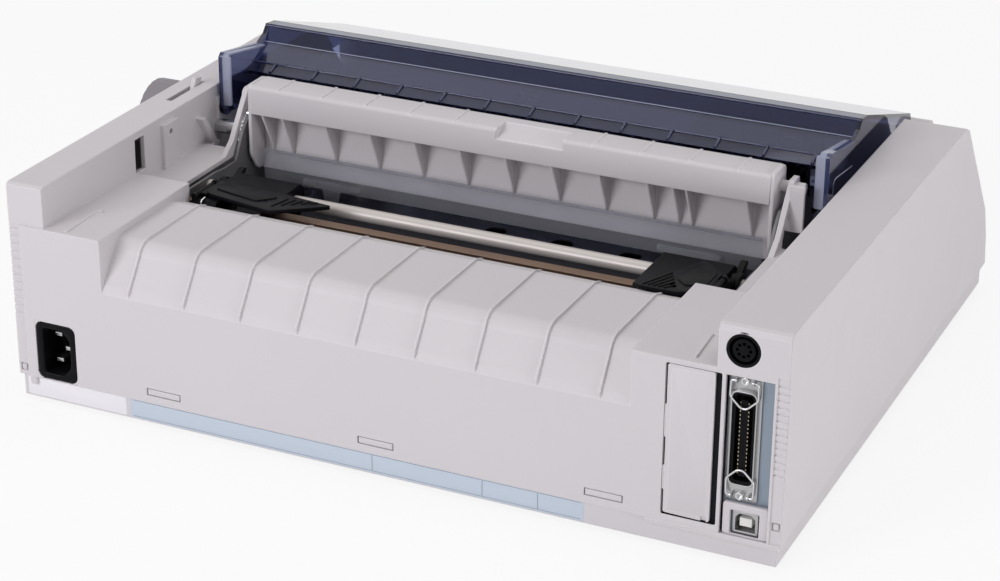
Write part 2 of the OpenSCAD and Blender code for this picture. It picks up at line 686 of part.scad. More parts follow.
module usb_shell() {
  color([0.80, 0.80, 0.80]) difference() {
    slab([u_usb - usb_w / 2, 2.6, z_usb - usb_h / 2], [u_usb + usb_w / 2, 18, z_usb + usb_h / 2]);
    slab([u_usb - usb_w / 2 + 0.6, 2, z_usb - usb_h / 2 + 0.6],
      [u_usb + usb_w / 2 - 0.6, 12, z_usb + usb_h / 2 - 0.6]);
  }
}

module usb_tongue() {
  color([0.92, 0.92, 0.90])
    slab([u_usb - 2.8, 3.6, z_usb - 2], [u_usb + 2.8, 12, z_usb + 2]);
}

module round_port() {
  color([0.12, 0.12, 0.13]) difference() {
    union() {
      rod_y(0, 12, u_round_port, z_round_port, round_port_r);
      slab([u_round_port - 7, wall, z_round_port - 10], [u_round_port + 7, 16, z_round_port + 6]);
    }
    difference() {
      rod_y(-1, 7, u_round_port, z_round_port, round_port_r - 1);
      rod_y(0.4, 8, u_round_port, z_round_port, round_port_r - 2.4);
    }
    for (a = [0 : 45 : 315])
      rod_y(-1, 6, u_round_port + 3 * cos(a), z_round_port + 3 * sin(a), 0.8);
  }
}

module inlet_outline(w, h, c) {
  translate([u_inlet, z_inlet])
    polygon([[-w / 2, -h / 2], [w / 2 - c, -h / 2], [w / 2, -h / 2 + c],
      [w / 2, h / 2 - c], [w / 2 - c, h / 2], [-w / 2, h / 2]]);
}

module inlet_body() {
  color([0.07, 0.07, 0.08]) difference() {
    along_y(0, 24) inlet_outline(inlet_w - 2 * running, inlet_h - 2 * running, 1);
    along_y(-1, 17) inlet_outline(16.5, 24.5, 4.5);
  }
}

module inlet_pins() {
  color([0.80, 0.80, 0.78]) union() {
    slab([u_inlet + 1, 4, z_inlet - 1], [u_inlet + 5, 17, z_inlet + 1]);
    for (s = [-1, 1])
      slab([u_inlet - 4.5, 6, z_inlet + s * 7 - 1], [u_inlet - 0.5, 17, z_inlet + s * 7 + 1]);
  }
}

module main_board() {
  color([0.10, 0.34, 0.20]) union() {
    slab([60, 130, 12], [322, 290, 13.6]);
    slab([120, 160, 13.5], [150, 190, 16.2]);
    slab([180, 170, 13.5], [215, 185, 16.6]);
    slab([180, 195, 13.5], [215, 210, 16.6]);
    slab([240, 150, 13.5], [300, 162, 19]);
    slab([90, 240, 13.5], [140, 252, 20]);
    for (u = [240 : 18 : 312]) rod_z(13.5, 22, u, 280, 4);
  }
}

module power_supply() {
  color([0.55, 0.42, 0.25]) union() {
    slab([40, 32, 12], [170, 68, 13.6]);
    slab([56, 36, 13.5], [88, 64, 42]);
    slab([98, 40, 13.5], [100, 64, 45]);
    for (u = [112 : 14 : 140]) rod_z(13.5, 38, u, 50, 6);
    slab([150, 36, 13.5], [164, 64, 34]);
  }
}

module mechanism_pan() {
  color([0.72, 0.73, 0.74]) difference() {
    union() {
      slab([u_near_frame, 100, pan_h - 1.2], [u_far_frame, pan_end, pan_h]);
      slab([u_near_frame, pan_end - 1.2, pan_h - 0.6], [u_far_frame, pan_end, pan_h + 10]);
      // post of the belt idler
      rod_z(pan_h - 0.1, belt_up - 5, u_belt1, belt_in, 5);
      rod_z(pan_h - 0.1, belt_up + 4.5, u_belt1, belt_in, 2);
      // struts under the paper guide
      for (u = [u_mid - 50, u_mid + 50])
        slab([u - 1, 120, pan_h - 0.5], [u + 1, 136, 62]);
    }
    for (u = [150 : 40 : 270]) for (v = [160 : 40 : 240])
      rod_z(pan_h - 3, pan_h + 1, u, v, 6);
  }
}

frame_outline = [[84.3, 62], [84.3, 83], [86.3, 85], [rail_in + 7, 85], [130, 84], [144, 84],
  [152, 98], [158, 104], [194, 104], [202, 94], [212, 80], [246, 80], [258, 74],
  [278, 70], [284, 56], [pan_end, 42], [pan_end, pan_h], [100, pan_h], [100, 50]];

module side_frame(u0) {
  a = u0 - 1;
  b = u0 + frame_t + 1;
  difference() {
    along_x(u0, u0 + frame_t) polygon(frame_outline);
    rod_x(a, b, platen_at[0], platen_at[1], platen_shaft_r + running);
    rod_x(a, b, drive_in, drive_up, drive_flat / 2 + running);
    rod_x(a, b, rail_in, rail_up, rail_r);
    rod_x(a, b, carriage_in, carriage_up, carriage_shaft_r);
    rod_x(a, b, guide_in, guide_up, guide_r);
    for (v = [190, 225, 285]) rod_x(a, b, v, 38, 6);
    children();
  }
}

module knob_side_frame() {
  color([0.72, 0.73, 0.74]) union() {
    side_frame(u_near_frame - frame_t) {
      rod_x(u_near_frame - 5, u_near_frame + 1, knob_in, knob_up, platen_shaft_r + running);
      rod_x(u_near_frame - 5, u_near_frame + 1, pinion_at[0], pinion_at[1], 5);
    }
    // pin of the feed idler
    rod_x(u_gears - 0.4, u_near_frame - frame_t + 0.1, feed_idler_at[0], feed_idler_at[1],
      idler_pin_r - running);
  }
}

module far_side_frame() {
  color([0.72, 0.73, 0.74]) side_frame(u_far_frame);
}

module carriage_shaft() {
  color([0.80, 0.80, 0.82]) rod_x(u_near_frame - frame_t - 2, u_far_frame + frame_t + 2,
    carriage_in, carriage_up, carriage_shaft_r);
}

module carriage_guide() {
  color([0.80, 0.80, 0.82]) rod_x(u_near_frame - frame_t - 2, u_far_frame + frame_t + 2,
    guide_in, guide_up, guide_r);
}

u_carriage = u_far_frame - 7 - carriage_w / 2;

module carriage() {
  a = u_carriage - carriage_w / 2;
  b = u_carriage + carriage_w / 2;
  color([0.14, 0.14, 0.15]) difference() {
    union() {
      along_x(a, b) polygon([[carriage_in - 9, carriage_up - 8], [carriage_in + 9, carriage_up - 8],
        [carriage_in + 12, guide_up + 4], [guide_in - 7, guide_up + 4], [guide_in - 7, guide_up - 5],
        [guide_in + 7, guide_up - 5], [guide_in + 7, carriage_up + 7],
        [print_in + 54, carriage_up + 11], [print_in + 20, carriage_up + 11], [print_in + 20, carriage_up + 7],
        [carriage_in - 9, carriage_up + 5]]);
      // clamp on the belt
      slab([u_carriage - 9, guide_in + 6, belt_up - 3],
        [u_carriage + 9, belt_in - pulley_r - belt_t - 0.4, belt_up + 3]);
    }
    rod_x(a - 1, b + 1, carriage_in, carriage_up, carriage_shaft_r + running);
    rod_x(a - 1, b + 1, guide_in, guide_up, guide_r + running);
  }
}

head_low = carriage_up + 11;

module print_head() {
  f = print_in;
  color([0.20, 0.20, 0.21]) union() {
    slab([u_carriage - 16, f + 20, head_low], [u_carriage + 16, f + 50, 96]);
    for (k = [0 : 5])
      slab([u_carriage - 19, f + 23 + k * 4.6, head_low],
        [u_carriage + 19, f + 25 + k * 4.6, 98]);
    along_z(82, 92) polygon([[u_carriage - 9, f + 20.5], [u_carriage - 3, f + 1.6],
      [u_carriage + 3, f + 1.6], [u_carriage + 9, f + 20.5]]);
  }
}

module ribbon_cartridge() {
  f = print_in;
  color([0.10, 0.10, 0.11]) union() {
    along_z(99, 108) polygon([[u_carriage - 33, f + 20], [u_carriage - 22, f + 12],
      [u_carriage + 22, f + 12], [u_carriage + 33, f + 20], [u_carriage + 33, f + 60],
      [u_carriage + 28, f + 66], [u_carriage - 28, f + 66], [u_carriage - 33, f + 60]]);
    for (s = [-1, 1]) along_z(82, 99.1)
      polygon([[u_carriage + s * 20, f + 16], [u_carriage + s * 26, f + 16],
        [u_carriage + s * 20, f + 1], [u_carriage + s * 17, f + 1]]);
    // ribbon between the two arms
    slab([u_carriage - 18, f + 0.8, 81], [u_carriage + 18, f + 1.1, 93]);
    rod_z(107.9, 110, u_carriage + 20, f + 50, 6);
    // clips down to the carriage
    for (s = [-1, 1])
      slab([u_carriage + s * 27 - 2, f + 44, head_low],
        [u_carriage + s * 27 + 2, f + 52, 99.1]);
  }
}

module belt_run(u0, u1, r) {
  box2([u0, belt_in - r], [u1, belt_in + r]);
  for (u = [u0, u1]) translate([u, belt_in]) circle(r = r, $fn = round_fn);
}

module carriage_belt() {
  color([0.10, 0.10, 0.10]) along_z(belt_up - 2.5, belt_up + 2.5) difference() {
    belt_run(u_belt0, u_belt1, pulley_r + belt_t + running);
    belt_run(u_belt0, u_belt1, pulley_r + running);
  }
}

module pulley(u) {
  difference() {
    union() {
      rod_z(belt_up - 2.8, belt_up + 2.8, u, belt_in, pulley_r);
      rod_z(belt_up - 4.2, belt_up - 2.8, u, belt_in, pulley_r + 2);
      rod_z(belt_up + 2.8, belt_up + 4.2, u, belt_in, pulley_r + 2);
    }
    rod_z(belt_up - 6, belt_up + 6, u, belt_in, 2 + running);
  }
}

module belt_pulley() {
  color([0.85, 0.84, 0.80]) pulley(u_belt0);
}

module belt_idler() {
  color([0.85, 0.84, 0.80]) pulley(u_belt1);
}

module space_motor() {
  color([0.62, 0.63, 0.65]) union() {
    rod_z(pan_h, belt_up - 9.4, u_belt0, belt_in, space_motor_r);
    rod_z(belt_up - 9.5, belt_up - 5.2, u_belt0, belt_in, 8);
    rod_z(belt_up - 5.3, belt_up + 4.6, u_belt0, belt_in, 2);
  }
}

module feed_motor() {
  color([0.62, 0.63, 0.65]) union() {
    rod_x(u_near_frame, u_near_frame + feed_motor_len, pinion_at[0], pinion_at[1], feed_motor_r);
    rod_x(u_near_frame - frame_t, u_near_frame + 0.1, pinion_at[0], pinion_at[1], 4.6);
    rod_x(u_feed_belt - 1.4, u_near_frame, pinion_at[0], pinion_at[1], 1.5);
  }
}

module feed_pinion() {
  color([0.85, 0.72, 0.40]) union() {
    gear(u_gears, pinion_at, pinion_teeth, pinion_turn, 1.5 + running);
    along_x(u_feed_belt - 0.3, u_gears - 0.4) translate(pinion_at) difference() {
      circle(r = motor_pulley_r, $fn = round_fn);
      circle(r = 1.5 + running, $fn = round_fn);
    }
    along_x(u_gears - 0.5, u_gears + 0.1) translate(pinion_at) difference() {
      circle(r = 4.5, $fn = round_fn);
      circle(r = 1.5 + running, $fn = round_fn);
    }
  }
}

module feed_idler() {
  color([0.90, 0.89, 0.86])
    gear(u_gears, feed_idler_at, idler_teeth, feed_idler_turn, idler_pin_r);
}

function arc(c, r, a0, a1) = [for (k = [0 : 24])
  c + r * [cos(a0 + (a1 - a0) * k / 24), sin(a0 + (a1 - a0) * k / 24)]];

// outline of a belt round two pulleys, as the tangents and two arcs
function belt_loop(a, ra, b, rb) =
  let (lean = asin((ra - rb) / norm(b - a)), dir = bearing(a, b))
  concat(arc(a, ra, dir + 90 - lean, dir + 270 + lean),
    arc(b, rb, dir - 90 + lean, dir + 90 - lean));

module feed_belt() {
  color([0.10, 0.10, 0.10]) along_x(u_feed_belt, u_feed_belt + feed_belt_w) difference() {
    polygon(belt_loop(pinion_at, motor_pulley_r + belt_t + running,
      drive_at, drive_pulley_r + belt_t + running));
    polygon(belt_loop(pinion_at, motor_pulley_r + running, drive_at,
      drive_pulley_r + running));
  }
}

module knob_shaft() {
  color([0.80, 0.80, 0.82]) union() {
    rod_x(-8, u_near_frame + 1, knob_in, knob_up, platen_shaft_r);
    gear(u_gears, knob_at, knob_teeth, 0, platen_shaft_r - 0.5);
  }
}

module platen_knob() {
  color([0.74, 0.74, 0.75]) difference() {
    union() {
      rod_x(-knob_reach + 1, -0.6, knob_in, knob_up, knob_r);
      rod_x(-knob_reach, -knob_reach + 1.1, knob_in, knob_up, knob_r - 1);
    }
    along_x(-7, 0) translate(knob_at) difference() {
      circle(r = knob_r - 2.2, $fn = round_fn);
      circle(r = platen_shaft_r + 3, $fn = round_fn);
    }
    rod_x(-8.2, 0, knob_in, knob_up, platen_shaft_r + running);
    for (a = [0 : 15 : 345])
      rod_x(-knob_reach - 1, 0, knob_in + (knob_r + 1.6) * cos(a), knob_up
        + (knob_r + 1.6) * sin(a), 2.1);
  }
}

module platen() {
  color([0.12, 0.12, 0.12]) difference() {
    rod_x(u_mid - platen_len / 2, u_mid + platen_len / 2, platen_at[0], platen_at[1], platen_r);
    rod_x(u_mid - platen_len, u_mid + platen_len, platen_at[0], platen_at[1],
      platen_shaft_r + running);
  }
}

module platen_shaft() {
  color([0.80, 0.80, 0.82]) rod_x(u_gears - 1, u_far_frame + frame_t + 2,
    platen_at[0], platen_at[1], platen_shaft_r);
}

module platen_gear() {
  color([0.90, 0.89, 0.86])
    gear(u_gears, platen_at, platen_teeth, platen_turn, platen_shaft_r + running);
}

module drive_shaft() {
  h = drive_flat / 2;
  color([0.80, 0.80, 0.82]) union() {
    slab([u_near_frame + 2, drive_in - h, drive_up - h],
      [u_far_frame - 2, drive_in + h, drive_up + h]);
    rod_x(u_feed_belt - 0.6, u_near_frame + 2.1, drive_in, drive_up, h);
    rod_x(u_far_frame - 2.1, u_far_frame + frame_t + 2, drive_in, drive_up, h);
  }
}

module drive_pulley() {
  color([0.90, 0.89, 0.86]) along_x(u_feed_belt - 0.3, u_near_frame - frame_t - 0.5)
    translate(drive_at) difference() {
      circle(r = drive_pulley_r, $fn = round_fn);
      circle(r = drive_flat / 2 + running, $fn = round_fn);
    }
}

module tractor_rail() {
  color([0.86, 0.86, 0.86]) rod_x(u_near_frame - frame_t - 1, u_far_frame + frame_t + 1,
    rail_in, rail_up, rail_r);
}

// --- tractors: d is +1 with the outer side towards the knob and -1 with it away ---

tractor_top = lid_top - lid_t - 0.4;
lock_w = 3.2;
lid_pin_u = 1.6;
lid_pin_z = lid_top - 1;

module span_x(u, d, a, b) {
  along_x(min(u + d * a, u + d * b), max(u + d * a, u + d * b)) children();
}

module tractor(u, d) {
  color([0.07, 0.07, 0.08]) difference() {
    union() {
      span_x(u, d, lock_w + 0.4, tractor_w)
        polygon([[drive_in - 15, 71], [drive_in - 11, 69], [rail_in + 3, 70],
          [rail_in + 10, 74], [rail_in + 10, 84], [rail_in + 6, tractor_top],
          [drive_in - 13, tractor_top], [drive_in - 15, 85]]);
      span_x(u, d, 0, lock_w + 1)
        polygon([[drive_in - 15, 71], [drive_in - 11, 69], [drive_in + 9, 69],
          [drive_in + 11, 71], [drive_in + 11, tractor_top],
          [drive_in - 13, tractor_top], [drive_in - 15, 85]]);
      // ears of the lid hinge
      for (v = [81, 100.6]) {
        rod_y(v, v + 2, u + d * lid_pin_u, lid_pin_z, 1.7);
        slab([min(u + d * 0.1, u + d * 3.1), v, tractor_top - 0.5],
          [max(u + d * 0.1, u + d * 3.1), v + 2, lid_pin_z]);
      }
    }
    // well of the sprocket and its bearings
    span_x(u, d, 14, 26) polygon([[drive_in - 16, 70.5], [drive_in + 9.5, 70.5],
      [drive_in + 9.5, 89], [drive_in - 16, 89]]);
    span_x(u, d, -1, tractor_w + 1) translate(drive_at)
      circle(r = 5.6 + running, $fn = round_fn);
    span_x(u, d, -1, tractor_w + 1) translate([rail_in, rail_up])
      circle(r = rail_r + running, $fn = round_fn);
    rod_y(80, 104, u + d * lid_pin_u, lid_pin_z, 0.8 + running);
  }
}

module lid(u, d, outline) {
  color([0.06, 0.06, 0.07]) union() {
    along_z(lid_top - lid_t, lid_top) polygon(outline);
    rod_y(84, 100, u + d * lid_pin_u, lid_pin_z, 1.3);
    rod_y(81.2, 102.4, u + d * lid_pin_u, lid_pin_z, 0.8);
    slab([min(u + d * lid_pin_u, u + d * 6), 90, lid_top - 1.8],
      [max(u + d * lid_pin_u, u + d * 6), 99, lid_top - 0.4]);
  }
}

// clamp ring on the rod with a thumb arm pointing to the front
module lock(u, d) {
  color([0.06, 0.06, 0.07]) span_x(u, d, 0, lock_w) translate([rail_in, rail_up])
    difference() {
      union() {
        circle(r = rail_r + 2.4, $fn = round_fn);
        rotate(25) translate([0, -1.6]) square([15, 3.2]);
        rotate(25) translate([14.5, 0]) circle(r = 2.4, $fn = 24);
      }
      circle(r = rail_r + running, $fn = round_fn);
    }
}

module sprocket(u, d) {
  h = drive_flat / 2 + 0.15;
  color([0.16, 0.16, 0.17]) difference() {
    union() {
      span_x(u, d, 14.4, 25.6) translate(drive_at) circle(r = sprocket_r, $fn = round_fn);
      span_x(u, d, 9, 31) translate(drive_at) circle(r = 5.6, $fn = round_fn);
      for (a = [0 : 45 : 315]) span_x(u, d, 18.8, 21.2) translate(drive_at)
        rotate(a) translate([sprocket_r - 1, 0]) polygon([[0, -1.1], [2, -1.1], [2.9, -0.5],
          [2.9, 0.5], [2, 1.1], [0, 1.1]]);
    }
    span_x(u, d, 0, 40) translate(drive_at) translate([-h, -h]) square([2 * h, 2 * h]);
  }
}

wing_u = near_tractor_at + tractor_w + 31;
near_outline = [[near_tractor_at + 3.8, 90], [near_tractor_at + 7, 86],
  [near_tractor_at + 46, 79], [wing_u, 98], [near_tractor_at + 7, 106],
  [near_tractor_at + 3.8, 106]];
far_outline = [[far_tractor_at - 3.8, 84], [far_tractor_at - 8, 80.5],
  [far_tractor_at - 16, 76], [far_tractor_at - 36, 76],
  [far_tractor_at - 26, 97], [far_tractor_at - 17, 117], [far_tractor_at - 3.8, 106]];

module near_tractor() {
  tractor(near_tractor_at, 1);
}

module far_tractor() {
  tractor(far_tractor_at, -1);
}

module near_lid() {
  lid(near_tractor_at, 1, near_outline);
}

module far_lid() {
  lid(far_tractor_at, -1, far_outline);
}

module near_lock() {
  lock(near_tractor_at, 1);
}

module far_lock() {
  lock(far_tractor_at, -1);
}

module near_sprocket() {
  sprocket(near_tractor_at, 1);
}

module far_sprocket() {
  sprocket(far_tractor_at, -1);
}

u_guide0 = u_near_frame + feed_motor_len + 2.5;
u_guide1 = u_far_frame - 2.5;
guide_t = 1.2;
guide_top = [[101, 67.6], [126, 64.5], [150, 61.5]];

module paper_guide() {
  color([0.38, 0.34, 0.31]) union() {
    along_x(u_guide0, u_guide1)
      polygon(concat(guide_top, [for (k = [2 : -1 : 0]) guide_top[k] - [0, guide_t]]));
    // folded edge on the upper end and feet on the struts
    along_x(u_guide0, u_guide1)
      polygon([[99.8, 68.4], [101.2, 67.6], [101.2, 65.4], [99.8, 65.4]]);
    for (u = [u_mid - 50, u_mid + 50])
      along_x(u - 3, u + 3) polygon([[120, 64.6], [136, 62.6], [136, 62], [120, 62]]);
  }
}

sep_face_low = separator_top - separator_face;

module separator_rib(u) {
  d = separator_d - 5;
  along_x(u - 0.6, u + 0.6) polygon([[separator_in + 0.5, sep_face_low + 1],
    [separator_in + d, sep_face_low + 1], [separator_in + d, 82],
    [separator_in + d - 2, 84], [separator_in + 1.8, sep_face_low - 1]]);
  along_x(u - 0.6, u + 0.6) polygon([[separator_in + 1, separator_top - 0.6],
    [separator_in + 2, separator_top + 0.5], [separator_in + separator_d - 1, separator_top + 0.5],
    [separator_in + separator_d - 0.2, separator_top - 0.6]]);
}

module paper_separator() {
  m = separator_pivot;
  color([0.80, 0.79, 0.77]) union() {
    // top bar, open below
    along_x(u_sep0, u_sep1) polygon([[separator_in, sep_face_low],
      [separator_in, separator_top - 1], [separator_in + 1, separator_top],
      [separator_in + separator_d - 1, separator_top], [separator_in + separator_d, separator_top - 1],
      [separator_in + separator_d, separator_top - 4],
      [separator_in + separator_d - 4, separator_top - 4],
      [separator_in + separator_d - 4, 80], [separator_in + separator_d - 5.6, 78],
      [separator_in + separator_d - 5.6, separator_top - 2],
      [separator_in + 1.8, separator_top - 2], [separator_in + 1.8, sep_face_low]]);
    for (k = [-5 : 5]) separator_rib(u_mid + k * separator_pitch);
    // end plates and pegs
    for (s = [[u_sep0 - 1.8, u_sep0 + 0.1], [u_sep1 - 0.1, u_sep1 + 1.8]])
      along_x(s[0], s[1]) polygon([[separator_in, 96], [separator_in, separator_top - 2],
        [separator_in + 2, separator_top], m + [4, separator_top - m[1]],
        m + [5.5, 5], m + [5.5, -4], [separator_in + 10, 96]]);
    rod_x(u_sep0 - 12, u_sep0, m[0], m[1], peg_r);
    rod_x(u_sep1, u_sep1 + 14, m[0], m[1], peg_r);
  }
}

module separator_film() {
  f = separator_in + 5;
  color([0.62, 0.66, 0.72]) union() {
    slab([u_sep0 + 23, f, film_low], [u_sep1 - 23, f + 0.5, film_high]);
    // tabs that hold the film on the separator's ribs
    for (k = [-4, 0, 4])
      slab([u_mid + k * separator_pitch + 1.2, f + 0.3, film_high - 7],
        [u_mid + k * separator_pitch + 6, separator_in + separator_d - 5.6, film_high - 1]);
  }
}

roof = [[190, ridge_h - 18.5], [198, ridge_h - 16], [212, ridge_h - 9], [217, ridge_h - 0.5],
  [226, ridge_h - 1.5], [brow_in - 2, front_edge_h], [brow_in + 1, front_edge_h - 6.5]];
roof_in = [[0.3, -0.954], [0.375, -0.93], [0.712, -0.762], [0.534, -1.065],
  [-0.208, -0.978], [-0.74, -0.813], [-0.919, -0.394]];

module cheek(u0) {
  h = [hinge_in, hinge_up];
  union() {
    along_x(u0, u0 + cover_t) polygon([h + [-4.7, 0], h + [-4.7, 28], h + [-2.5, 30],
      [206, ridge_h - 8], [213, ridge_h - 5], [217, ridge_h - 0.5], [226, ridge_h - 1.5],
      [brow_in - 2, front_edge_h], [brow_in - 1, front_edge_h - 2.4], [brow_in - 1, 99.5],
      [brow_in - 2, 98.5], [178, 98.5],
      h + [3, -4.6], h]);
    rod_x(u0, u0 + cover_t, h[0], h[1], 5.5);
  }
}

module access_cover() {
  color([0.28, 0.31, 0.40]) union() {
    along_x(u_cover0, u_cover1) polygon(concat(roof,
      [for (k = [len(roof) - 1 : -1 : 0]) roof[k] + cover_t * roof_in[k]]));
    cheek(u_cover0);
    cheek(u_cover1 - cover_t);
    rod_x(u_cover0 - 2.8, u_cover0 + 0.1, hinge_in, hinge_up, hinge_r);
    rod_x(u_cover1 - 0.1, u_cover1 + 2.8, hinge_in, hinge_up, hinge_r);
    // ribs on the tear-off lip
    for (k = [-6 : 6])
      along_x(u_mid + k * separator_pitch - 0.6, u_mid + k * separator_pitch + 0.6)
        polygon([roof[0] + [1, 0], roof[0] + [1.4, 1], roof[1] + [-0.3, 1], roof[1] + [1, 0]]);
  }
}

module paper_lever() {
  m = lever_at;
  color([0.80, 0.79, 0.77]) union() {
    along_x(lever_u - 1.5, lever_u + 1) difference() {
      union() {
        translate(m) circle(r = 4.5, $fn = 24);
        polygon([m + [-2.5, 0], m + [9, 20], m + [14.5, 19], m + [3.5, -1]]);
      }
    }
    rod_x(lever_u, lever_u + 5, m[0], m[1], 2);
  }
}

module power_switch() {
  c = switch_at;
  h = switch_half;
  color([0.10, 0.10, 0.11]) union() {
    along_y(c[0] - h[0], c[0] + h[0]) polygon([[0.2, c[1] - h[1] + 0.8], [5, c[1] - h[1] + 0.2],
      [5, c[1] + h[1] - 0.2], [0.2, c[1] + h[1] - 0.8]]);
    rod_y(c[0] - h[0], c[0] + h[0], 5, c[1], 2);
  }
}

module control_panel() {
  color([0.36, 0.37, 0.40]) difference() {
    face_block(panel_u0, panel_u1, 4, 30, -0.8, 0.2);
    for (u = button_u)
      face_block(u - button_w / 2 - loose, u + button_w / 2 + loose,
        button_s - button_h / 2 - loose, button_s + button_h / 2 + loose, -2, 2);
    // windows of the lamps
    for (u = [106 : 8 : 130]) face_block(u - 2, u + 2, 10, 12, -2, 2);
  }
}

module button(u) {
  color([0.72, 0.72, 0.70]) union() {
    face_block(u - button_w / 2, u + button_w / 2, button_s - button_h / 2,
      button_s + button_h / 2, -4, 1.6);
    face_block(u - button_w / 2 - 1.5, u + button_w / 2 + 1.5, button_s - button_h / 2 - 1.5,
      button_s + button_h / 2 + 1.5, -5.5, -4);
  }
}

module select_button() {
  button(button_u[0]);
}

module line_feed_button() {
  button(button_u[1]);
}

module form_feed_button() {
  button(button_u[2]);
}

lower_case();
upper_case();
rubber_feet();
case_screws();
option_card_cover();
interface_plate();
parallel_shell();
parallel_insulator();
parallel_contacts();
upper_bail();
lower_bail();
usb_shell();
usb_tongue();
round_port();
inlet_body();
inlet_pins();
main_board();
power_supply();
mechanism_pan();
knob_side_frame();
far_side_frame();
carriage_shaft();
carriage_guide();
carriage();
print_head();
ribbon_cartridge();
carriage_belt();
belt_pulley();
belt_idler();
space_motor();
feed_motor();
feed_pinion();
feed_idler();
feed_belt();
knob_shaft();
platen_knob();
platen();
platen_shaft();
platen_gear();
drive_shaft();
drive_pulley();
tractor_rail();
near_tractor();
far_tractor();
near_lid();
far_lid();
near_lock();
far_lock();
near_sprocket();
far_sprocket();
paper_guide();
paper_separator();
separator_film();
access_cover();
paper_lever();
power_switch();
control_panel();
select_button();
line_feed_button();
form_feed_button();
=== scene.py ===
# %% [markdown]
# # A desktop dot matrix printer, seen from behind
#
# The solids of the printer come in first as the frame: every real piece is one mesh,
# already in its place. This lesson dresses them. Some pieces only get their finish, and
# the ones that need softer forms, seams, wires or see-through walls are modelled anew
# over their solid, and then stand in for it.

import math

import bpy
from mathutils import Matrix, Vector
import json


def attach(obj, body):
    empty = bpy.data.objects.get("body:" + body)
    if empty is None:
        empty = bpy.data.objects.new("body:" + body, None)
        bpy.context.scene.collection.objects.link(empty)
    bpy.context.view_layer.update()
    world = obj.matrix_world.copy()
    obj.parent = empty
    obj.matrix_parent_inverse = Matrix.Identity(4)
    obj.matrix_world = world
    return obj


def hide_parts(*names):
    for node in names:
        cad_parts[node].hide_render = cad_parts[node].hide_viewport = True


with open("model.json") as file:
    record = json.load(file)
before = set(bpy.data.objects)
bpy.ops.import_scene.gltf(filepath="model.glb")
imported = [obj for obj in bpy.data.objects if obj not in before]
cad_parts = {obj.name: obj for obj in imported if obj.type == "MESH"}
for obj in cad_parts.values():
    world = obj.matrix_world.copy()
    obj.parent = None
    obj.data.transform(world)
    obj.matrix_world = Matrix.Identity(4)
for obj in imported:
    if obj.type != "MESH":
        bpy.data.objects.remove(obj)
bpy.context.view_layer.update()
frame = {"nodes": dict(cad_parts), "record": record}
nodes = frame["nodes"]
print(len(nodes), "pieces in the frame")

# %% [markdown]
# Places on the printer are easiest to give as a fitter would measure them: across from
# the side wall with the knob, in from the rear face, and up from the table, in
# millimetres. One helper turns them into Blender's metres. The others start from a clean
# selection, name a piece with its mesh, and lay a finished mesh at the origin.

# %% Places and selections
MM = 1 / 1000
CASE_HALF = 189.75
REAR = 172.5


def at(u, v, z):
    """A place given as across, in and up."""
    return Vector(((CASE_HALF - u) * MM, (REAR - v) * MM, z * MM))


def only(piece):
    if bpy.context.mode != "OBJECT":
        bpy.ops.object.mode_set(mode="OBJECT")
    bpy.ops.object.select_all(action="DESELECT")
    piece.select_set(True)
    bpy.context.view_layer.objects.active = piece


def called(piece, name):
    piece.name = name
    piece.data.name = name
    return piece


def settle(piece, name):
    """Applies the place of a finished piece, so that its mesh holds it."""
    only(piece)
    bpy.ops.object.transform_apply(location=True, rotation=True, scale=True)
    return called(piece, name)


print("rear corner by the knob at", [round(c, 4) for c in at(0, 0, 0)])

# %% [markdown]
# Shaders are built from code as well. One helper makes a node, sets its options, and
# puts a constant or another node's output on each input.

# %% Helpers for shader nodes
def feed(tree, node, inputs):
    """Puts a constant or another node's output on each input, by its name or order."""
    for key, value in inputs.items():
        if isinstance(value, bpy.types.NodeSocket):
            tree.links.new(value, node.inputs[key])
        else:
            node.inputs[key].default_value = value
    return node


def shader(tree, kind, inputs, **settings):
    node = tree.nodes.new(kind)
    for key, value in settings.items():
        setattr(node, key, value)
    return feed(tree, node, inputs)


print("helpers for shader nodes: feed and shader")

# %% [markdown]
# ## Camera
#
# The view is from above and behind, far enough off for a long lens. The camera's place
# and roll are given as a point that it looks at, the direction back to the camera, and
# the distance. Turning those into a matrix keeps the horizon exactly as meant.

# %% Place the camera
look_at = at(193.79, 150.0, 36.3)
back = Vector((-0.3776, 0.8294, 0.4117)).normalized()
distance = 1.30498
roll = math.radians(0.58)

right = Vector((0, 0, 1)).cross(back).normalized()
up = back.cross(right)
side = right * math.cos(roll) + up * math.sin(roll)
top = up * math.cos(roll) - right * math.sin(roll)

camera_data = bpy.data.cameras.new("Camera")
camera_data.lens = 91.5
camera_data.sensor_width = 36
camera_data.clip_start = 0.05
camera_data.clip_end = 30
camera = bpy.data.objects.new("Camera", camera_data)
bpy.context.scene.collection.objects.link(camera)
turn = Matrix((side, top, back)).transposed().to_4x4()
camera.matrix_world = Matrix.Translation(look_at + back * distance) @ turn
bpy.context.scene.camera = camera
print("camera at", [round(c, 3) for c in camera.location])

# %% [markdown]
# ## Light, floor and backdrop
#
# A product picture has soft light from all round, a little more from above, and a white
# ground. The world gives the even part. Only what the camera sees directly, or in gloss
# and glass, is pure white, so the white ground doesn't brighten the printer itself.

# %% World and lamps
WHITE = (1, 1, 1, 1)
SKY_TINT, SKY_STRENGTH = (0.965, 0.955, 1.0, 1), 0.44


def in_view(tree):
    """One for rays that the camera sees directly, in gloss or through glass."""
    path = tree.nodes.new("ShaderNodeLightPath").outputs
    seen = path["Is Camera Ray"]
    for ray in ("Is Glossy Ray", "Is Transmission Ray"):
        seen = shader(tree, "ShaderNodeMath", {0: seen, 1: path[ray]},
                      operation="MAXIMUM").outputs[0]
    return seen


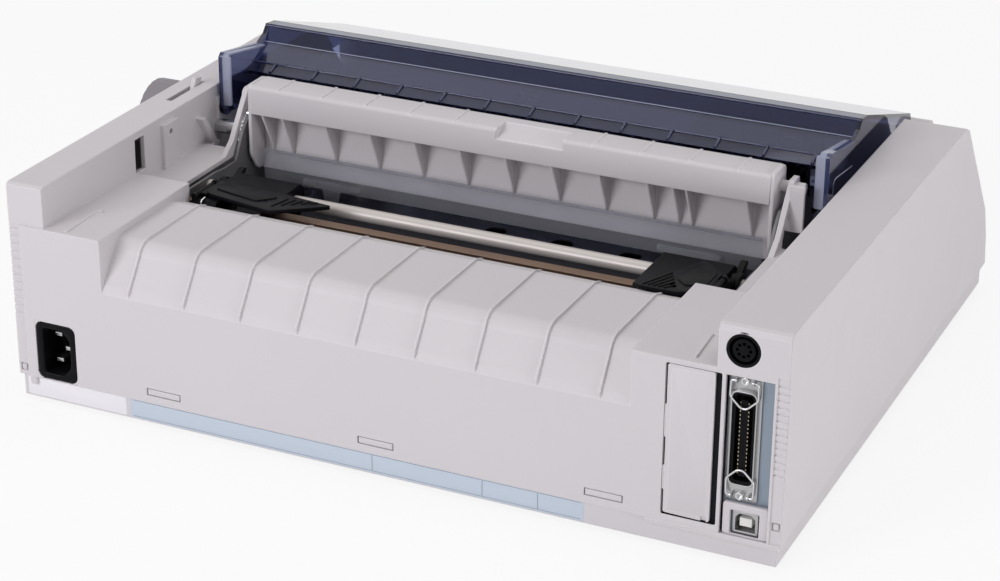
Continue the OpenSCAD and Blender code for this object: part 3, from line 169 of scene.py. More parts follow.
scene = bpy.context.scene
scene.view_settings.view_transform = "Standard"
world = bpy.data.worlds.new("Studio")
scene.world = world
world.use_nodes = True
sky = world.node_tree
sky.nodes.clear()
seen = in_view(sky)
plain = shader(sky, "ShaderNodeBackground", {"Color": SKY_TINT, "Strength": SKY_STRENGTH})
white = shader(sky, "ShaderNodeBackground", {"Color": WHITE, "Strength": 1.0})
mix = shader(sky, "ShaderNodeMixShader", {0: seen, 1: plain.outputs[0], 2: white.outputs[0]})
shader(sky, "ShaderNodeOutputWorld", {"Surface": mix.outputs[0]})


def softbox(name, place, aim, size, power, colour):
    data = bpy.data.lights.new(name, "AREA")
    data.shape = "RECTANGLE"
    data.size, data.size_y = size
    data.energy = power
    data.color = colour
    lamp = bpy.data.objects.new(name, data)
    scene.collection.objects.link(lamp)
    lamp.location = place
    lamp.rotation_euler = (Vector(aim) - Vector(place)).to_track_quat("-Z", "Y").to_euler()


softbox("overhead", (0.1, -0.2, 1.5), (0, 0, 0), (1.6, 1.4), 5.8, (1, 0.975, 0.93))
softbox("behind_left", (0.8, 1.7, 0.8), (0, 0, 0.05), (0.8, 0.6), 15.6, (0.975, 0.965, 1))
softbox("low_right", (-1.6, 0.35, 0.2), (0, 0, 0.04), (0.9, 0.3), 7.2, (0.98, 0.98, 1))
print("3 soft boxes and an even sky")

# %% [markdown]
# The floor is a matt white card for the light that falls on it, and glows towards the
# eye, so that the picture's ground stays nearly white and still takes a soft shadow.

# %% Floor
FLOOR_SIZE = 9
FLOOR_GLOW = 0.85

bpy.ops.mesh.primitive_plane_add(size=FLOOR_SIZE, location=(0, 0, 0))
floor = bpy.context.object
floor.name = "floor"
ground = bpy.data.materials.new("white ground")
ground.use_nodes = True
tree = ground.node_tree
tree.nodes.clear()
part = shader(tree, "ShaderNodeMath", {0: in_view(tree), 1: FLOOR_GLOW}, operation="MULTIPLY")
card = shader(tree, "ShaderNodeBsdfDiffuse", {"Color": (0.92, 0.92, 0.92, 1)})
glow = shader(tree, "ShaderNodeEmission", {"Color": WHITE, "Strength": 1.0})
mix = shader(tree, "ShaderNodeMixShader",
             {0: part.outputs[0], 1: card.outputs[0], 2: glow.outputs[0]})
shader(tree, "ShaderNodeOutputMaterial", {"Surface": mix.outputs[0]})
floor.data.materials.append(ground)
print("floor", [round(side, 1) for side in floor.dimensions], "m")

# %% [markdown]
# ## Finishes
#
# Most of the printer is injection moulded plastic. Up close it has a fine spark-eroded
# grain, slow drifts of tone from ageing, edges painted a little lighter, part rubbing and
# part painted highlight, and a radius on each edge. One recipe makes all of these from
# noise on the object's own coordinates, and a bevel shader rounds the edges of pieces
# whose mesh is left as it is.

# %% Colours, noise and blends
def srgb(r, g, b):
    def one(c):
        c = c / 255
        return c / 12.92 if c <= 0.04045 else ((c + 0.055) / 1.055) ** 2.4

    return (one(r), one(g), one(b), 1)


def faded(colour, share):
    return [c * share for c in colour[:3]] + [1]


def material(name):
    look = bpy.data.materials.new(name)
    look.use_nodes = True
    return look, look.node_tree, look.node_tree.nodes.new("ShaderNodeTexCoord").outputs["Object"]


def noise(tree, place, scale, detail):
    return shader(tree, "ShaderNodeTexNoise",
                  {"Vector": place, "Scale": scale, "Detail": detail}).outputs["Fac"]


def blend(tree, a, b, share):
    return shader(tree, "ShaderNodeMix", {"A": a, "B": b, "Factor": share},
                  data_type="RGBA").outputs["Result"]


print("mid grey in linear light is", round(srgb(128, 128, 128)[0], 3))

# %% [markdown]
# The recipe takes a colour, a roughness and a few measures of wear. Metals drawn or
# rolled in one direction get their grain stretched along it. The lighter edge, part wear
# and part painted highlight, comes from comparing the rounded normal with the true one:
# they differ only near an edge.

# %% The moulded and plated recipe
DRIFT_SCALE, PATCH_SCALE = 14, 60
GRAIN_DEPTH = 0.4 * MM
ROUGH_DRIFT = 0.08
EDGE_STARTS, EDGE_FULL = 0.99, 0.86


def finish(name, colour, rough, metal=0.0, grain=(900, 0.12), drift=0.04, rub_and_highlight=0.12,
           radius=0.35, streak=None, coat=0.0, shine=0.5):
    """grain is a scale and a strength, drift and rub_and_highlight are shares, radius is in
    millimetres. rub_and_highlight lightens edges, as wear and as painted highlight.
    """
    look, tree, place = material(name)
    along = place
    if streak:
        along = shader(tree, "ShaderNodeMapping", {"Vector": place, "Scale": streak}).outputs[0]
    r, g, b = colour[:3]
    tone = blend(tree, faded(colour, 1 - drift),
                 [r * (1 + drift), g * (1 + drift * 0.9), b * (1 + drift * 0.6), 1],
                 noise(tree, place, DRIFT_SCALE, 5))
    rounded = shader(tree, "ShaderNodeBevel", {"Radius": radius * MM}, samples=4).outputs[0]
    bump = shader(tree, "ShaderNodeBump",
                  {"Strength": grain[1], "Distance": GRAIN_DEPTH, "Normal": rounded,
                   "Height": noise(tree, along, grain[0], 3)})
    true = tree.nodes.new("ShaderNodeNewGeometry").outputs["Normal"]
    facing = shader(tree, "ShaderNodeVectorMath", {0: rounded, 1: true},
                    operation="DOT_PRODUCT")
    # Painted highlight: near an edge the base colour turns lighter, part rubbing and part caught
    # light.
    edge = shader(tree, "ShaderNodeMapRange",
                  {"Value": facing.outputs["Value"], "From Min": EDGE_STARTS,
                   "From Max": EDGE_FULL, "To Min": 0, "To Max": rub_and_highlight})
    rubbed_and_lit_colour = [min(1, c * 1.25 + 0.10) for c in (r, g, b)] + [1]
    dull = shader(tree, "ShaderNodeMapRange",
                  {"Value": noise(tree, place, PATCH_SCALE, 4),
                   "To Min": max(0.02, rough - ROUGH_DRIFT),
                   "To Max": min(1, rough + ROUGH_DRIFT)})
    feed(tree, tree.nodes["Principled BSDF"],
         {"Base Color": blend(tree, tone, rubbed_and_lit_colour, edge.outputs[0]), "Metallic": metal,
          "Roughness": dull.outputs[0], "Normal": bump.outputs[0],
          "Coat Weight": coat, "Specular IOR Level": shine})
    return look


print("grain is", GRAIN_DEPTH / MM, "mm deep, and the roughness drifts by", ROUGH_DRIFT)

# %% [markdown]
# Each slot of the frame gets its own numbers. Plastics have a fine grain and little
# drift, metals a coarse streaked grain, and rubber almost no shine.

# %% One finish for each slot
looks = {
    # The case's edges and ribs get the full painted highlight along them.
    "case_plastic": finish("case plastic", srgb(211, 207, 209), 0.52, grain=(1400, 0.10),
                           drift=0.015, rub_and_highlight=1.0, radius=0.9, shine=0.3),
    "black_rubber": finish("black rubber", srgb(20, 20, 22), 0.8, grain=(1600, 0.3),
                           drift=0.12, rub_and_highlight=0.05, radius=0.3, shine=0.15),
    "plated_steel": finish("zinc plated steel", srgb(176, 176, 178), 0.34, metal=1.0,
                           grain=(260, 0.05), drift=0.08, rub_and_highlight=0.2, radius=0.15,
                           streak=(1, 0.06, 1)),
    "port_plate_paint": finish("blue grey port plate", srgb(140, 152, 166), 0.42, metal=0.35,
                               grain=(700, 0.08), drift=0.06, rub_and_highlight=0.2, radius=0.2),
    "black_plastic": finish("black moulded plastic", srgb(15, 15, 18), 0.36,
                            grain=(1200, 0.1), drift=0.15, rub_and_highlight=0.04, radius=0.3, shine=0.08),
    "contact_gold": finish("gold flashed contacts", srgb(176, 164, 140), 0.3, metal=1.0,
                           grain=(900, 0.03), rub_and_highlight=0.1, radius=0.05),
    "bright_steel": finish("bright drawn steel", srgb(205, 205, 208), 0.22, metal=1.0,
                           grain=(500, 0.03), rub_and_highlight=0.1, radius=0.15, streak=(0.05, 1, 1)),
    "white_plastic": finish("white nylon", srgb(232, 231, 226), 0.4, grain=(900, 0.05),
                            drift=0.02, rub_and_highlight=0.2, radius=0.15),
    "board_green": finish("solder mask green", srgb(28, 92, 56), 0.3, grain=(500, 0.08),
                          drift=0.18, rub_and_highlight=0.15, radius=0.1, coat=0.4),
    "board_brown": finish("paper board brown", srgb(150, 118, 70), 0.45, grain=(400, 0.1),
                          drift=0.15, rub_and_highlight=0.15, radius=0.1),
    "head_casting": finish("dark casting", srgb(62, 62, 66), 0.48, metal=0.8,
                           grain=(700, 0.3), drift=0.12, rub_and_highlight=0.3, radius=0.3),
    "belt_rubber": finish("belt rubber", srgb(24, 24, 25), 0.62, grain=(1500, 0.25),
                          drift=0.15, rub_and_highlight=0.1, radius=0.1),
    "motor_can": finish("motor can steel", srgb(168, 170, 174), 0.32, metal=1.0,
                        grain=(300, 0.05), drift=0.06, rub_and_highlight=0.15, radius=0.4,
                        streak=(1, 1, 0.08)),
    "pinion_brass": finish("turned brass", srgb(206, 168, 96), 0.28, metal=1.0,
                           grain=(400, 0.05), drift=0.08, rub_and_highlight=0.15, radius=0.1,
                           streak=(0.08, 1, 1)),
    "knob_plastic": finish("lavender grey plastic", srgb(132, 127, 132), 0.5,
                           grain=(1300, 0.1), drift=0.03, rub_and_highlight=0.25, radius=0.4),
    "rail_aluminium": finish("satin rod", srgb(196, 190, 186), 0.42, metal=0.2,
                             grain=(600, 0.04), rub_and_highlight=0.1, radius=0.2, streak=(0.03, 1, 1)),
    "guide_paint": finish("black painted sheet", srgb(34, 34, 38), 0.5, drift=0.12, rub_and_highlight=0.15,
                          radius=0.2, shine=0.2),
    # The bar's pale edge line is a painted highlight.
    "browned_steel": finish("browned steel bar", srgb(128, 104, 88), 0.38, metal=0.7,
                            grain=(500, 0.08), drift=0.12, rub_and_highlight=0.5, streak=(0.04, 1, 1)),
    "panel_plastic": finish("printed panel film", srgb(98, 101, 110), 0.38,
                            grain=(1500, 0.12), drift=0.05, rub_and_highlight=0.15, radius=0.3),
    "button_plastic": finish("button plastic", srgb(186, 186, 182), 0.45,
                             grain=(1300, 0.08), drift=0.03, rub_and_highlight=0.3, radius=0.5),
}
print(len(looks), "opaque finishes")

# %% [markdown]
# Two plastics are see-through. The cover's tinted sheet darkens what is behind it, bends
# the light a little and shines at a low angle, so it uses real transmission with a blue
# tint on its gloss. The clear film is far thinner than it is wide. A mix of a pass-through
# and a gloss that grows towards grazing angles gives it a milky haze without noise.

# %% See-through finishes
def see_through(name, tint, body, rough, haze):
    """haze is the share of gloss where the sheet is seen square on."""
    look, tree, place = material(name)
    tree.nodes.remove(tree.nodes["Principled BSDF"])
    ripple = noise(tree, place, 35, 3)
    rounded = shader(tree, "ShaderNodeBevel", {"Radius": 0.4 * MM}, samples=4)
    bump = shader(tree, "ShaderNodeBump",
                  {"Strength": 0.02, "Distance": MM, "Height": ripple,
                   "Normal": rounded.outputs[0]}).outputs[0]
    clear = shader(tree, "ShaderNodeBsdfTransparent",
                   {"Color": blend(tree, tint, faded(tint, 0.86), ripple)})
    skin = shader(tree, "ShaderNodeBsdfPrincipled",
                  {"Base Color": body, "Roughness": rough, "IOR": 1.5, "Normal": bump})
    facing = shader(tree, "ShaderNodeLayerWeight", {"Blend": 0.5, "Normal": bump})
    shine = shader(tree, "ShaderNodeMath", {0: facing.outputs["Facing"], 1: 4},
                   operation="POWER")
    share = shader(tree, "ShaderNodeMath", {0: shine.outputs[0], 1: 0.6, 2: haze},
                   operation="MULTIPLY_ADD", use_clamp=True)
    mix = shader(tree, "ShaderNodeMixShader",
                 {0: share.outputs[0], 1: clear.outputs[0], 2: skin.outputs[0]})
    feed(tree, tree.nodes["Material Output"], {"Surface": mix.outputs[0]})
    return look


def tinted(name, tint, gloss_tint, rough):
    look, tree, place = material(name)
    ripple = noise(tree, place, 25, 2)
    bump = shader(tree, "ShaderNodeBump", {"Strength": 0.03, "Distance": MM, "Height": ripple})
    feed(tree, tree.nodes["Principled BSDF"],
         {"Base Color": blend(tree, tint, faded(tint, 0.92), ripple), "Roughness": rough,
          "IOR": 1.49, "Transmission Weight": 1.0, "Specular IOR Level": 0.3,
          "Specular Tint": gloss_tint, "Coat Weight": 0.12, "Coat Roughness": 0.03,
          "Normal": bump.outputs[0]})
    return look


looks["smoky_plastic"] = tinted("smoky cover plastic", (0.16, 0.18, 0.33, 1),
                                (0.6, 0.64, 0.95, 1), 0.04)
looks["clear_film"] = see_through("clear film", (0.95, 0.95, 0.97, 1),
                                  (0.60, 0.61, 0.65, 1), 0.12, 0.17)
print("smoky cover and clear film")

# %% [markdown]
# ## Pieces that keep their solid
#
# Every node gets the finish that its slot names. Later cells replace the ones that need
# more than a finish. The side frames are old zinc, duller than the sockets' shells.

# %% Finish the frame's own pieces
slot_of = {s["node"]: s["material_slot"] for s in frame["record"]["subparts"]}
for name, node in nodes.items():
    node.data.materials.clear()
    node.data.materials.append(looks[slot_of[name]])
dull_zinc = finish("dull zinc", srgb(118, 117, 120), 0.55, metal=0.5, grain=(260, 0.05),
                   drift=0.1, rub_and_highlight=0.1, radius=0.15, shine=0.3)
for name in ("knob_side_frame", "far_side_frame"):
    nodes[name].data.materials[0] = dull_zinc
print(len(slot_of), "pieces have their finish")

# %% [markdown]
# ## How new pieces are made
#
# A new piece starts as a primitive, is shaped and cut, gets its edges rounded, and is
# joined with its neighbours in the same moulding. Then it is dressed: it gets the finish
# of its slot or a look of its own, the body that carries it and the nodes that it stands
# in for.

# %% Rounding, cutting and joining
SMOOTH_BELOW = math.radians(35)


def modify(piece, kind, **settings):
    """Adds one modifier with its settings and applies it."""
    m = piece.modifiers.new(kind.title(), kind)
    for key, value in settings.items():
        setattr(m, key, value)
    only(piece)
    bpy.ops.object.modifier_apply(modifier=m.name)
    return piece


def soften(piece, width, segments=2, angle=30):
    modify(piece, "BEVEL", width=width * MM, segments=segments, limit_method="ANGLE",
           angle_limit=math.radians(angle))
    bpy.ops.object.shade_smooth_by_angle(angle=SMOOTH_BELOW)
    return piece


def cut(piece, *tools):
    for tool in tools:
        modify(piece, "BOOLEAN", operation="DIFFERENCE", solver="EXACT", object=tool)
        bpy.data.objects.remove(tool)
    return piece


def block(name, a, b, bevel=0.3):
    """A moulded block between two places, with its edges rounded."""
    p, q = at(*a), at(*b)
    bpy.ops.mesh.primitive_cube_add(size=1, location=(p + q) / 2)
    piece = bpy.context.object
    piece.scale = [abs(side) for side in q - p]
    settle(piece, name)
    return soften(piece, bevel) if bevel else piece


def join(name, pieces):
    only(pieces[0])
    for p in pieces[1:]:
        p.select_set(True)
    if len(pieces) > 1:
        bpy.ops.object.join()
    return called(bpy.context.view_layer.objects.active, name)


def dress(piece, slot, body="printer", replaces=(), look=None):
    """Gives a piece its slot's finish or a look of its own, its body and its nodes."""
    piece.data.materials.clear()
    piece.data.materials.append(look or looks[slot])
    for face in piece.data.polygons:
        face.material_index = 0
    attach(piece, body)
    if replaces:
        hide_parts(*replaces)
    return piece


print("faces that meet at under", round(math.degrees(SMOOTH_BELOW)), "degrees are smooth")

# %% [markdown]
# Most trim on an office machine is a flat outline given some depth. A circle with one
# vertex for each corner is the primitive, and its vertices go to their places. Corners
# are turned to arcs first, because a bevel after the extrusion would round the wrong
# edges too.

# %% Outlines
CORNER_SHARE = 0.45


def turned(points, radius, steps=4, closed=True):
    """The outline with each corner turned to a short arc."""
    points = [Vector(p) for p in points]
    arc = []
    for i, p in enumerate(points):
        if not closed and i in (0, len(points) - 1):
            arc.append(p)
            continue
        a, b = points[i - 1] - p, points[(i + 1) % len(points)] - p
        r = min(radius, a.length * CORNER_SHARE, b.length * CORNER_SHARE)
        start, end = p + a.normalized() * r, p + b.normalized() * r
        for k in range(steps + 1):
            t = k / steps
            arc.append(start * (1 - t) ** 2 + p * (2 * t * (1 - t)) + end * t ** 2)
    return arc


def box_shape(x0, y0, x1, y1, radius=0, steps=4):
    corners = [(x0, y0), (x1, y0), (x1, y1), (x0, y1)]
    return turned(corners, radius, steps) if radius else corners


def around(x, y, half_x, half_y, *corner):
    return box_shape(x - half_x, y - half_y, x + half_x, y + half_y, *corner)


def outline(name, places, fill, closed=True):
    """A circle primitive whose corners go to the given places, opened on request."""
    bpy.ops.mesh.primitive_circle_add(vertices=len(places), radius=0.01, fill_type=fill)
    piece = bpy.context.object
    piece.name = name
    for corner, place in zip(piece.data.vertices, places):
        corner.co = place
    if not closed:
        last = {0, len(places) - 1}
        bpy.ops.object.mode_set(mode="EDIT")
        bpy.ops.mesh.select_all(action="DESELECT")
        bpy.ops.object.mode_set(mode="OBJECT")
        for edge in piece.data.edges:
            edge.select = set(edge.vertices) == last
        bpy.ops.object.mode_set(mode="EDIT")
        bpy.ops.mesh.select_mode(type="EDGE")
        bpy.ops.mesh.delete(type="EDGE")
        bpy.ops.object.mode_set(mode="OBJECT")
    return piece


print("a square with turned corners has", len(box_shape(0, 0, 1, 1, 0.1)), "places")

# %% [markdown]
# A plate is an outline drawn out along one axis: across, in or up. A frame plate has a
# second outline cut right through it.

# %% Plates
def on_all(operator, **settings):
    """Runs an edit mode operator on the whole mesh."""
    bpy.ops.object.mode_set(mode="EDIT")
    bpy.ops.mesh.select_all(action="SELECT")
    operator(**settings)
    bpy.ops.object.mode_set(mode="OBJECT")


def extrude(step):
    on_all(bpy.ops.mesh.extrude_region_move, TRANSFORM_OT_translate={"value": step})


def face_outward():
    on_all(bpy.ops.mesh.normals_make_consistent, inside=False)


def plate(name, shape, axis, a, b, bevel=0.3, segments=2):
    """A flat outline extruded along one axis. shape holds the other two, in order."""
    def place(p, w):
        spot = list(p)
        spot.insert("uvz".index(axis), w)
        return at(*spot)

    piece = outline(name, [place(p, a) for p in shape], "NGON")
    extrude(place(shape[0], b) - place(shape[0], a))
    face_outward()
    return soften(piece, bevel, segments) if bevel else piece


def frame_plate(name, outer, inner, axis, a, b, bevel=0.25):
    """A plate with a hole right through it."""
    hole = plate("hole", inner, axis, a - 2, b + 2, 0)
    return soften(cut(plate(name, outer, axis, a, b, 0), hole), bevel)


print("plates are drawn out across (u), in (v) or up (z)")

# %% [markdown]
# ## The rear
#
# Two plates lie along the lower rim. On this printer they stay blank: one of white
# paper and one of pale blue grey film, each a thin sheet with turned corners. Fine
# printed rules divide the second. They are cut from an outline, as a label is.

# %% Blank plates on the lower rim
PLATE_V, RULE_V = (1.88, 2.0), (1.84, 1.9)
PLATE_TOP = 13.3
paper = finish("white label paper", srgb(236, 235, 238), 0.62, grain=(1800, 0.06),
               drift=0.01, rub_and_highlight=0.05, radius=0.05)
pale_film = finish("pale label film", srgb(196, 207, 219), 0.34, grain=(1600, 0.05),
                   drift=0.015, rub_and_highlight=0.05, radius=0.05)
rule_ink = finish("grey rule ink", srgb(132, 142, 156), 0.5, grain=(1500, 0.03),
                  drift=0.03, rub_and_highlight=0.0, radius=0.05)

for name, look, corners in (("serial_plate", paper, box_shape(4, 3.3, 61, PLATE_TOP)),
                            ("rating_plate", pale_film, box_shape(63.4, 3.1, 304, PLATE_TOP))):
    dress(plate(name, turned(corners, 1.0), "v", *PLATE_V, 0.03), "white_plastic", look=look)
rule_boxes = [(u, 4.2, u + 0.35, 12.2) for u in (196, 253, 281)]
rule_boxes += [(65, z, 302.4, z + 0.25) for z in (12.45, 3.9)]
rules = [block("rule", (u0, RULE_V[0], z0), (u1, RULE_V[1], z1), 0)
         for u0, z0, u1, z1 in rule_boxes]
dress(join("rating_plate_rules", rules), "panel_plastic", look=rule_ink)
print("2 blank plates and", len(rule_boxes), "rules")

# %% [markdown]
# The option slot has a raised lip round it, and the skirt drops a little lower below the
# ports. These are thin trim on a flat wall, so each is an outline, with a hole where it
# needs one, extruded a fraction of a millimetre and rounded.

# %% Lip round the option slot and the skirt
slot_lip = frame_plate("option_slot_lip", box_shape(339.2, 12.4, 369.2, 94.4, 2.0),
                       box_shape(341.5, 17.6, 367.5, 92.5, 1.2), "v", 0.02, 0.5, 0.15)
skirt = plate("port_skirt", box_shape(334.2, 11.2, 397.4, 14.2, 0.8), "v", 0.05, 1.9)
lips = join("port_trim", [slot_lip, skirt])
dress(lips, "case_plastic")
print("port trim", len(lips.data.polygons), "faces")

# %% [markdown]
# The option card cover is a loose flap, narrower than its slot, so the slot shows black
# at its edges. The flap has turned corners, a notch for a screwdriver at its foot, and a
# fine step round it. Behind it lies a thin black strip: painted shade for the gap round it.

# %% Option card cover and its painted shade
FLAP_L, FLAP_R, FLAP_TOP = 342.5, 364.4, 92.0

flap = plate("flap", turned([(FLAP_L, 18.6), (FLAP_R, 18.2), (FLAP_R, FLAP_TOP),
                             (FLAP_L, FLAP_TOP)], 1.2), "v", 0.1, 1.9, 0)
flap = soften(cut(flap, block("notch", (360.4, -1, 17), (363.0, 1.0, 20.6), 0)), 0.35, 3)
step = plate("step", box_shape(FLAP_L + 1.9, 20.4, FLAP_R - 1.8, FLAP_TOP - 1.8, 1.0),
             "v", 0.0, 0.16, 0.12)
flap = join("option_card_cover_flap", [flap, step])
dress(flap, "case_plastic", replaces=["option_card_cover"])

# Painted shade: a black strip behind the flap darkens the gap round it.
slot_gap_shade = block("option_slot_painted_shade", (341.6, 1.5, 14.6), (367.3, 2.3, 92.4), 0.1)
dress(slot_gap_shade, "black_rubber")
ledges = join("option_slot_ledges", [block("ledge", (341.5, 0.3, z0), (342.6, 1.6, z1), 0.15)
                                     for z0, z1 in ((30, 42), (56, 72))])
dress(ledges, "case_plastic")
print("flap", len(flap.data.polygons), "faces")

# %% [markdown]
# ## Sockets
#
# The parallel port is a ribbon type socket: a pressed flange held by two hex screws, a
# drawn shell, a black insulator with two rows of contacts, and a wire bail at each end.
# The flange and the shell are cut plates with the same throat. Each bail turns in two
# folded ears, and its screw sits between them.

# %% Parallel socket
def rod(name, p, q, radius, bevel=0.2, sides=32):
    """A turned rod between two places, with its ends broken."""
    a, b = at(*p), at(*q)
    bpy.ops.mesh.primitive_cylinder_add(vertices=sides, radius=radius * MM,
                                        depth=(b - a).length, location=(a + b) / 2)
    piece = bpy.context.object
    piece.rotation_euler = (b - a).to_track_quat("Z", "Y").to_euler()
    settle(piece, name)
    return soften(piece, bevel, 2, angle=50) if bevel else piece


PORT_U, PORT_Z, PORT_HALF = 377.5, 62.0, 31.0
EAR_V, EAR_INSET = 1.2, 3.0
BAIL_ENDS = {s: PORT_Z + s * (PORT_HALF - EAR_INSET) for s in (-1, 1)}
throat = around(PORT_U, PORT_Z, 5.35, 22.3, 3.0, 6)
parts = [
    frame_plate("flange", around(PORT_U, PORT_Z, 7.7, PORT_HALF, 1.6), throat,
                "v", 3.1, 4.0),
    frame_plate("shell", around(PORT_U, PORT_Z, 6.1, 23.1, 3.6, 8), throat,
                "v", 1.3, 3.4, 0.3)]
screws = []
for z in BAIL_ENDS.values():
    for ear_u in (PORT_U - 4, PORT_U + 4):
        u0, u1 = ear_u - 0.55, ear_u + 0.55
        parts.append(rod("lug", (u0, EAR_V, z), (u1, EAR_V, z), 1.1, 0.15))
        parts.append(block("lug_foot", (u0, EAR_V, z - 1.5), (u1, 3.4, z + 1.5), 0.15))
    hexagon = rod("hex", (PORT_U, EAR_V, z), (PORT_U, 3.2, z), 2.1, sides=6)
    screws.append(cut(hexagon, rod("bore", (PORT_U, 0, z), (PORT_U, 2.6, z), 1.15, 0, 20)))
port = join("parallel_socket_shell", parts)
dress(port, "plated_steel", replaces=["parallel_shell"])
dress(join("socket_screws", screws), "bright_steel")
print("parallel socket", len(port.data.polygons), "faces")

# %% [markdown]
# A bail is one spring wire: two inward pins, straight legs and a pointed loop. The line
# of places becomes a curve, gets its round section and becomes a mesh again. The lower
# bail is the upper one upside down, so one loop draws both.

# %% Wire bails
def wire(name, line, radius):
    """A round wire along an open line of places."""
    only(outline(name, [at(*p) for p in line], "NOTHING", closed=False))
    bpy.ops.object.convert(target="CURVE")
    curve = bpy.context.object.data
    curve.bevel_depth = radius * MM
    curve.bevel_resolution = 3
    curve.use_fill_caps = True
    bpy.ops.object.convert(target="MESH")
    piece = bpy.context.object
    piece.name = name
    face_outward()
    bpy.ops.object.shade_smooth_by_angle(angle=math.radians(50))
    return piece


for s, body in ((1, "upper_bail"), (-1, "lower_bail")):
    z, bend_z, tip_z = [BAIL_ENDS[s] - s * reach for reach in (0, 8, 13)]
    half = [(3.4, z), (6.3, z), (6.5, bend_z), (1.4, tip_z)]
    line = [(PORT_U - x, EAR_V, h) for x, h in half]
    line += [(PORT_U + x, EAR_V, h) for x, h in reversed(half)]
    bail = wire(body + "_wire", turned(line, 1.3, closed=False), 0.52)
    dress(bail, "bright_steel", body, [body])
print("2 wire bails")

# %% [markdown]
# Below it the small square socket sits behind a moulded window: a plastic frame, the
# blue grey plate in shadow, then the folded steel shell and its white tongue.

# %% Window and shell of the small socket
USB_U, USB_Z = 380.5, 20.5
window = frame_plate("small_socket_window", box_shape(370.4, 14.4, 391.3, 30.2, 1.4),
                     box_shape(USB_U - 6.9, USB_Z - 5.9, USB_U + 6.9, USB_Z + 6.3, 0.8),
                     "v", 1.2, 3.6, 0.4)
dress(window, "case_plastic")
mouth = [(-4.6, -4.3), (4.6, -4.3), (4.6, 2.2), (2.8, 4.2), (-2.8, 4.2), (-4.6, 2.2)]
mouth = turned([(USB_U + x, USB_Z + h) for x, h in mouth], 0.4)
can = plate("small_socket_shell", around(USB_U, USB_Z, 5.95, 5.4, 0.6), "v", 2.7, 17.8, 0)
can = soften(cut(can, plate("mouth", mouth, "v", 1, 12, 0)), 0.25)
dress(can, "plated_steel", replaces=["usb_shell"])
print("small socket", len(can.data.polygons), "faces")

# %% [markdown]
# The mains inlet is one black moulding with turned corners on its outside, two cut
# corners on its mouth, and three blades deep inside. The case closes round its
# turned corners with small webs, and a raised guard stands beside it.

# %% Mains inlet
INLET_U, INLET_Z = 23.2, 30.0
RIM_HALF = (11.4, 15.4)
MOUTH_DEPTH = 17
hull = plate("mains_inlet", around(INLET_U, INLET_Z, *RIM_HALF, 4.6, 8), "v", 0.1, 24, 0)
mouth = [(-7.6, -12.0), (3.4, -12.0), (7.8, -7.2), (7.8, 7.2), (3.4, 12.0), (-7.6, 12.0)]
mouth = turned([(INLET_U + x, INLET_Z + h) for x, h in mouth], 1.6)
hull = soften(cut(hull, plate("mouth", mouth, "v", -1, MOUTH_DEPTH, 0)), 0.8, 3)
dress(hull, "black_plastic", replaces=["inlet_body"])
blades = [plate("blade", around(INLET_U + x, INLET_Z + h, 2, 1, 0.3), "v", 6.5,
                MOUTH_DEPTH) for x, h in ((3, 0), (-2.5, 7), (-2.5, -7))]
dress(join("mains_blades", blades), "plated_steel", replaces=["inlet_pins"])
corners = plate("inlet_corners", around(INLET_U, INLET_Z, 11.45, 15.45), "v", 0.05, 3, 0)
opening = around(INLET_U, INLET_Z, 11.5, 15.5, 4.7, 8)
dress(cut(corners, plate("opening", opening, "v", -1, 5, 0)), "case_plastic")
guard = plate("inlet_guard", box_shape(6.6, 9.6, 10.2, 46.4, 1.5), "v", 0.02, 2.3, 0.5)
dress(guard, "case_plastic")
print("mains inlet", len(hull.data.polygons), "faces")

# %% [markdown]
# The round socket has a sunk face with seven holes and a wide key slot. Its face keeps
# the frame's solid, and a black ring with softened edges is laid round it.

# %% Ring of the round socket
DIN_U, DIN_Z = 376.5, 105.0
ring = rod("round_socket_ring", (DIN_U, 0.02, DIN_Z), (DIN_U, 1.2, DIN_Z), 8.6, 0, 64)
ring = cut(ring, rod("bore", (DIN_U, -1, DIN_Z), (DIN_U, 3, DIN_Z), 7.4, 0, 64))
dress(soften(ring, 0.35, 3), "black_plastic")
print("ring", len(ring.data.polygons), "faces")

# %% [markdown]
# ## Paper separator
#
# The separator is one long moulding: a bar with a front band, webs under it, and a wall
# that guides the paper. Mouldings like this have soft edges, so the bar is one bent
# sheet with turned corners, and a finger recess is sunk in the middle of the band's
# upper edge.

# %% Bar, recess and guide wall
def sheet(name, line, u0, u1, thick, bevel=0.0):
    """A bent sheet: an open line of in and up places, drawn across and thickened."""
    piece = outline(name, [at(u0, v, z) for v, z in line], "NOTHING", closed=False)
    extrude(at(u1, 0, 0) - at(u0, 0, 0))
    modify(piece, "SOLIDIFY", thickness=thick * MM, offset=0)
    if bevel:
        soften(piece, bevel, 2, angle=60)
    bpy.ops.object.shade_smooth_by_angle(angle=SMOOTH_BELOW)
    return piece


SEP_L, SEP_R, SEP_MID = 47.05, 334.05, 190.55
RECESS = (188.4, 225.6)
BAR_Z = 121.9
bar_line = turned([(154.9, 107.4), (154.9, BAR_Z), (172.6, BAR_Z), (172.6, 118.9)], 1.4, 5,
                  closed=False)
bar = sheet("bar", bar_line, SEP_L, SEP_R, 1.8, 0.25)
scoop = plate("scoop", [(150, 130), (150, 117.2), (155.4, 117.2), (165.6, 122.0), (165.6, 130)],
              "u", *RECESS, 0)
recess_line = turned([(155.0, 115.0), (155.0, 116.9), (165.9, 121.7), (168, BAR_Z)], 0.8, 3,
                     closed=False)
recess = sheet("recess", recess_line, RECESS[0] - 0.5, RECESS[1] + 0.5, 1.4, 0.15)
cheek_shape = [(154.2, 116.6), (154.2, BAR_Z), (155.2, 122.7), (167.0, 122.7), (155.6, 116.6)]
cheeks = [plate("cheek", cheek_shape, "u", u - 0.5, u + 0.5, 0.2) for u in RECESS]
